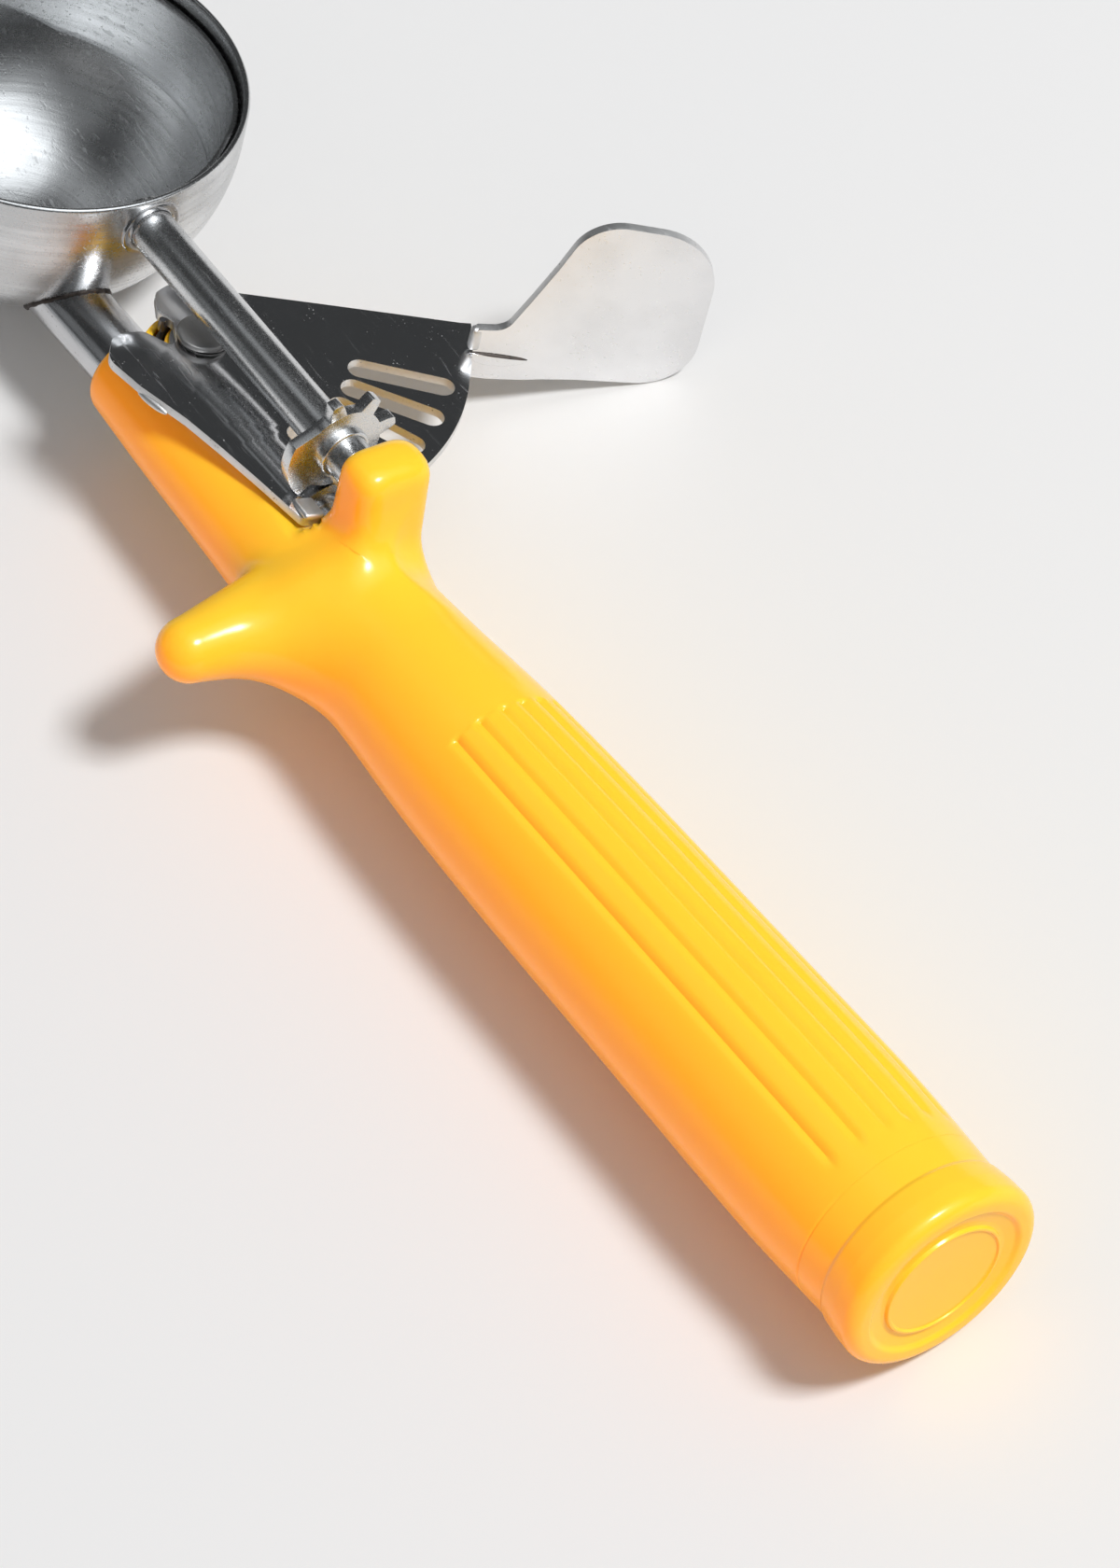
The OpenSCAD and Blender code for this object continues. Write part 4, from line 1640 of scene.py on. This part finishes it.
@dataclass
class Sweep:
    """Long shaft, pinion with its pin, and the scraper blade."""

    shaft: float = SHAFT_RADIUS
    rear: float = 85.3
    pinion_x: float = 73.15
    pinion_t: float = 1.65
    root: float = 6.2
    tip: float = 8.5
    pitch: float = 7.5
    disc: float = 8.3
    tooth: float = 2.05
    teeth: tuple = (-76, -31, 14, 59, 104)
    sector: tuple = (159.0, 228.6)
    blade: float = 26.0
    blade_t: float = 0.7
    blade_rest: float = -8.0
    blade_widths: tuple = ((0, 6.2), (19, 6.2), (25, 3.4), (30, 3.0))
    blade_end: float = 3.6

    def rod(self) -> Piece:
        """The shaft with its stepped front end.

        Returns:
            The piece, laid down.
        """
        r, b, e = self.shaft, self.blade, self.rear
        rod = turned("sweep_rod", rounded([
            (0, b - 1.65), (2.6, b - 1.65, 0.3), (2.6, b - 0.85, 0.1), (2.0, b - 0.85),
            (2.0, b + 0.04), (r, b + 0.04, 0.2), (r, 50), (r, e, 0.3), (0, e)]), 72)
        return settle(rod, 35, shaft_frame())

    def wheel(self) -> Piece:
        """The pinion: five teeth on one side, a plain disc on the other.

        Returns:
            The piece, laid down.
        """
        foot, tip, wide = self.root * 0.985, self.tip, self.tooth
        shape = rounded([
            (foot, -wide * 0.6), (self.pitch, -wide / 2), (tip, -wide * 0.36, 0.4),
            (tip, wide * 0.36, 0.4), (self.pitch, wide / 2), (foot, wide * 0.6)])
        points: list = []
        for centre in self.teeth:
            c, s = polar(1.0, centre)
            points += [(x * c - y * s, x * s + y * c) for x, y in shape]
            points += [polar(self.root, centre + 14 + 4 * k) for k in range(5)]
        points += [polar(self.disc, a) for a in np.linspace(*self.sector, 21)]
        points += [polar(self.root, a) for a in np.linspace(self.sector[1] + 2, 267, 8)]
        half = self.pinion_t / 2
        wheel = cut_sheet("pinion_wheel", [points], -half, half)
        soften(wheel, 0.14, 2, 40)
        across = Matrix(((0, 0, 1, 0), (1, 0, 0, 0), (0, 1, 0, 0), (0, 0, 0, 1)))
        return settle(wheel, 30, at(self.pinion_x, 0, SHAFT_Z) @ across)

    def hub(self) -> Piece:
        """The pinion's hub.

        Returns:
            The piece, laid down.
        """
        x, bore, wide = self.pinion_x, self.shaft + 0.02, 3.73
        rear = x + self.pinion_t / 2 + 1.25
        hub = turned("pinion_hub", rounded([
            (bore, x), (wide, x), (wide, rear, 0.35), (bore, rear, 0.12)]), 64)
        return settle(hub, 35, shaft_frame())

    def scraper(self) -> Piece:
        """The curved blade under the rim.

        Returns:
            The piece, laid down.
        """
        along, across = 97, 15
        middle = self.blade - self.blade_t / 2

        def place(row: int, column: int) -> Point:
            """The blade's point along its half circle and across it.

            Args:
                row: step along the half circle.
                column: step across the blade.

            Returns:
                The point.
            """
            x, z = polar(middle, -180 * row / (along - 1))
            wide = float(np.interp(abs(x), *zip(*self.blade_widths)))
            if abs(z) < self.blade_end:
                wide = min(wide, math.sqrt(max(self.blade_end ** 2 - z * z, 0.2)))
            return (x, wide * (2 * column / (across - 1) - 1), z)

        blade = grid_sheet("sweep_blade", along, across, place)
        finish_with(blade, "SOLIDIFY", thickness=self.blade_t, offset=0.0)
        tidy_shell(blade)
        soften(blade, 0.12, 2, 40)
        return settle(blade, 30, at(0, 0, SHAFT_Z) @ turn_by(90 + self.blade_rest, "X"))

    def build(self, palette: Palette) -> None:
        """Builds and dresses the sweep's pieces.

        Args:
            palette: the built finishes.
        """
        dress(self.rod(), Finish.SHAFT, palette, "sweep", Slot.STEEL, "sweep_shaft")
        for piece in (self.wheel(), self.hub()):
            dress(piece, Finish.SHAFT, palette, "sweep", Slot.STEEL, "pinion")
        dress(self.scraper(), Finish.BOWL, palette, "sweep", Slot.SATIN, "scraper_blade")


# ------------------------------------------------------------ studio


@dataclass(frozen=True)
class Panel:
    """A pale panel of the room, as mirrors see it."""

    toward: tuple
    core: float
    reach: float
    level: float


@dataclass
class Studio:
    """Floor, lamps, surroundings and camera."""

    room: float = 0.045
    ambient: float = 0.33
    backdrop: float = 0.885
    panels: tuple = (
        Panel((-0.45, 0.03, 0.85), 4, 15, 0.33),
        Panel((-0.15, 0.03, 0.98), 4, 17, 0.33),
        Panel((0.15, 0.03, 0.98), 6, 20, 0.36),
        Panel((0.70, -0.05, 0.68), 12, 32, 0.40),
        Panel((0.30, -0.50, 0.80), 8, 24, 0.16),
        Panel((-0.56, -0.83, 0.02), 3, 10, 0.45),
        Panel((-0.56, -0.70, 0.42), 4, 14, 0.16),
        Panel((0.40, 0.35, 0.845), 10, 40, 2.2),
    )
    camera_mm: tuple = (598.73897502, -270.73860305, 982.29965709)
    right: tuple = (0.562853, 0.818888, -0.112333)
    up: tuple = (-0.66383, 0.528822, 0.528846)
    back: tuple = (0.49247, -0.223092, 0.841251)
    focal_px: float = 9548.777
    frame_px: tuple = (1200, 1680)
    sun: Vector = Vector((0.40, 0.35, 0.845)).normalized()
    sun_size: tuple = (3.5, 0.66)

    def camera(self) -> None:
        """Makes the camera and gives it to the scene."""
        data = bpy.data.cameras.new("camera")
        data.sensor_fit = "AUTO"
        data.sensor_width = 36.0
        data.lens = self.focal_px / max(self.frame_px) * data.sensor_width
        data.clip_start, data.clip_end = 0.05, 20.0
        cam = bpy.data.objects.new("camera", data)
        bpy.context.scene.collection.objects.link(cam)
        turn = Matrix((self.right, self.up, self.back)).transposed()
        cam.matrix_world = Matrix.Translation(Vector(self.camera_mm) * 0.001) @ turn.to_4x4()
        bpy.context.scene.camera = cam

    def lamp(
        self, name: str, toward: Vector, size: tuple, power: float, colour: tuple, lit: str,
        pieces: Sequence[Piece],
    ) -> bpy.types.Object:
        """A square area lamp that looks at the scoop and lights some pieces alone.

        Args:
            name: the lamp's name.
            toward: direction from the scoop to the lamp.
            size: its distance and its side in metres.
            power: its power in watts.
            colour: its colour.
            lit: name of the collection of the pieces that it lights.
            pieces: those pieces.

        Returns:
            The lamp.
        """
        data = bpy.data.lights.new(name, "AREA")
        data.color = colour
        data.shape = "SQUARE"
        data.size = size[1]
        data.energy = power
        lamp = bpy.data.objects.new(name, data)
        bpy.context.scene.collection.objects.link(lamp)
        lamp.location = Vector((0.0, 0.0, 0.02)) + toward * size[0]
        lamp.rotation_euler = (-toward).to_track_quat("-Z", "Y").to_euler()
        receivers = bpy.data.collections.new(lit)
        for piece in pieces:
            receivers.objects.link(piece)
        lamp.light_linking.receiver_collection = receivers
        return lamp

    def floor(self) -> None:
        """A wide pale floor."""
        activate()
        bpy.ops.mesh.primitive_plane_add(size=12.0, location=(0, 0, 0))
        plane = bpy.context.object
        plane.name = "floor"
        mat = bpy.data.materials.new("pale_floor")
        mat.use_nodes = True
        w = Wiring(mat.node_tree)
        w.tree.nodes.clear()
        cloth = w.node("BsdfDiffuse", in_Color=(0.875, 0.877, 0.88, 1))
        w.node("OutputMaterial", in_0=cloth.outputs[0])
        plane.data.materials.append(mat)

    def surroundings(self) -> None:
        """The world: even light on dull surfaces, a dark room with pale panels in mirrors."""
        world = bpy.data.worlds.new("studio")
        bpy.context.scene.world = world
        world.use_nodes = True
        w = Wiring(world.node_tree)
        w.tree.nodes.clear()
        where = w.node("TexCoord").outputs["Generated"]
        seen = []
        for panel in self.panels:
            facing = w.node(
                "VectorMath", operation="DOT_PRODUCT", in_0=where,
                in_1=Vector(panel.toward).normalized()).outputs["Value"]
            core, rim = (math.cos(math.radians(a)) for a in (panel.core, panel.reach))
            seen.append(w.node(
                "MapRange", interpolation_type="SMOOTHSTEP", in_0=facing, in_From_Min=rim,
                in_From_Max=core, in_To_Max=panel.level).outputs[0])
        room = w.maths("ADD", w.most(seen), self.room)
        mirrored = w.node("Background", in_Color=(0.93, 0.97, 1, 1), in_1=room)
        even, backdrop = (
            w.node("Background", in_Color=(1, 1, 1, 1), in_1=level)
            for level in (self.ambient, self.backdrop))
        rays = w.node("LightPath").outputs
        world_light = w.node(
            "MixShader", in_0=rays["Is Glossy Ray"], in_1=even.outputs[0],
            in_2=mirrored.outputs[0])
        view = w.node(
            "MixShader", in_0=rays["Is Camera Ray"], in_1=world_light.outputs[0],
            in_2=backdrop.outputs[0])
        w.node("OutputWorld", in_0=view.outputs[0])

    def light(self, palette: Palette) -> None:
        """Hangs the key lamp, and two for the light that the plastic carries inside.

        Args:
            palette: the built finishes, by which the lamps know their pieces.
        """
        meshes = [o for o in bpy.data.objects if o.type == "MESH"]
        plastic, brushed = palette[Finish.YELLOW].name, palette[Finish.BOWL].name
        yellow = [o for o in meshes if plastic in o.data.materials]
        others = [o for o in meshes if brushed not in o.data.materials]
        axes = Matrix((self.right, self.up, self.back)).transposed()
        low = (axes @ Vector((-0.60, -0.60, 0.53))).normalized()
        self.lamp("key", self.sun, self.sun_size, 90.0, (1.0, 1.0, 1.0), "lit_pieces", others)
        for lamp in (
            self.lamp("warm_fill", low, (2.0, 1.2), 24.0, (1.0, 0.03, 0.0), "filled_pieces",
                      yellow),
            self.lamp("yellow_key", self.sun, self.sun_size, 26.0, (0.9, 1.0, 1.0),
                      "sunny_pieces", yellow),
        ):
            lamp.visible_glossy = False

    def build(self) -> None:
        """Sets the view and builds camera, floor and world."""
        bpy.context.scene.view_settings.view_transform = "Standard"
        self.camera()
        self.floor()
        self.surroundings()


# ------------------------------------------------------------ main

INNER_STEEL = (
    "front_pivot_washer", "post_bush", "pivot_sleeve", "thrust_washer", "rod_pin",
    "spring_anchor_pin")


def main() -> None:
    """Builds the scoop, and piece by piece."""
    logging.basicConfig(level=logging.INFO, format="%(name)s: %(message)s")
    bpy.context.preferences.edit.use_global_undo = False
    palette, studio = Palette(), Studio()
    studio.build()
    for maker in (
        Bowl(), Shank(), GripMoulding(), EndCap(), LeverPivot(), LeverStamping(), Sweep()
    ):
        maker.build(palette)
    studio.light(palette)
    for name in (*INNER_STEEL, "pinion_pin"):
        finish = Finish.HIDDEN if name in INNER_STEEL else Finish.DARK
        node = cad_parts[name]
        node.data.materials.clear()
        node.data.materials.append(palette[finish])


if __name__ == "__main__":
    main()
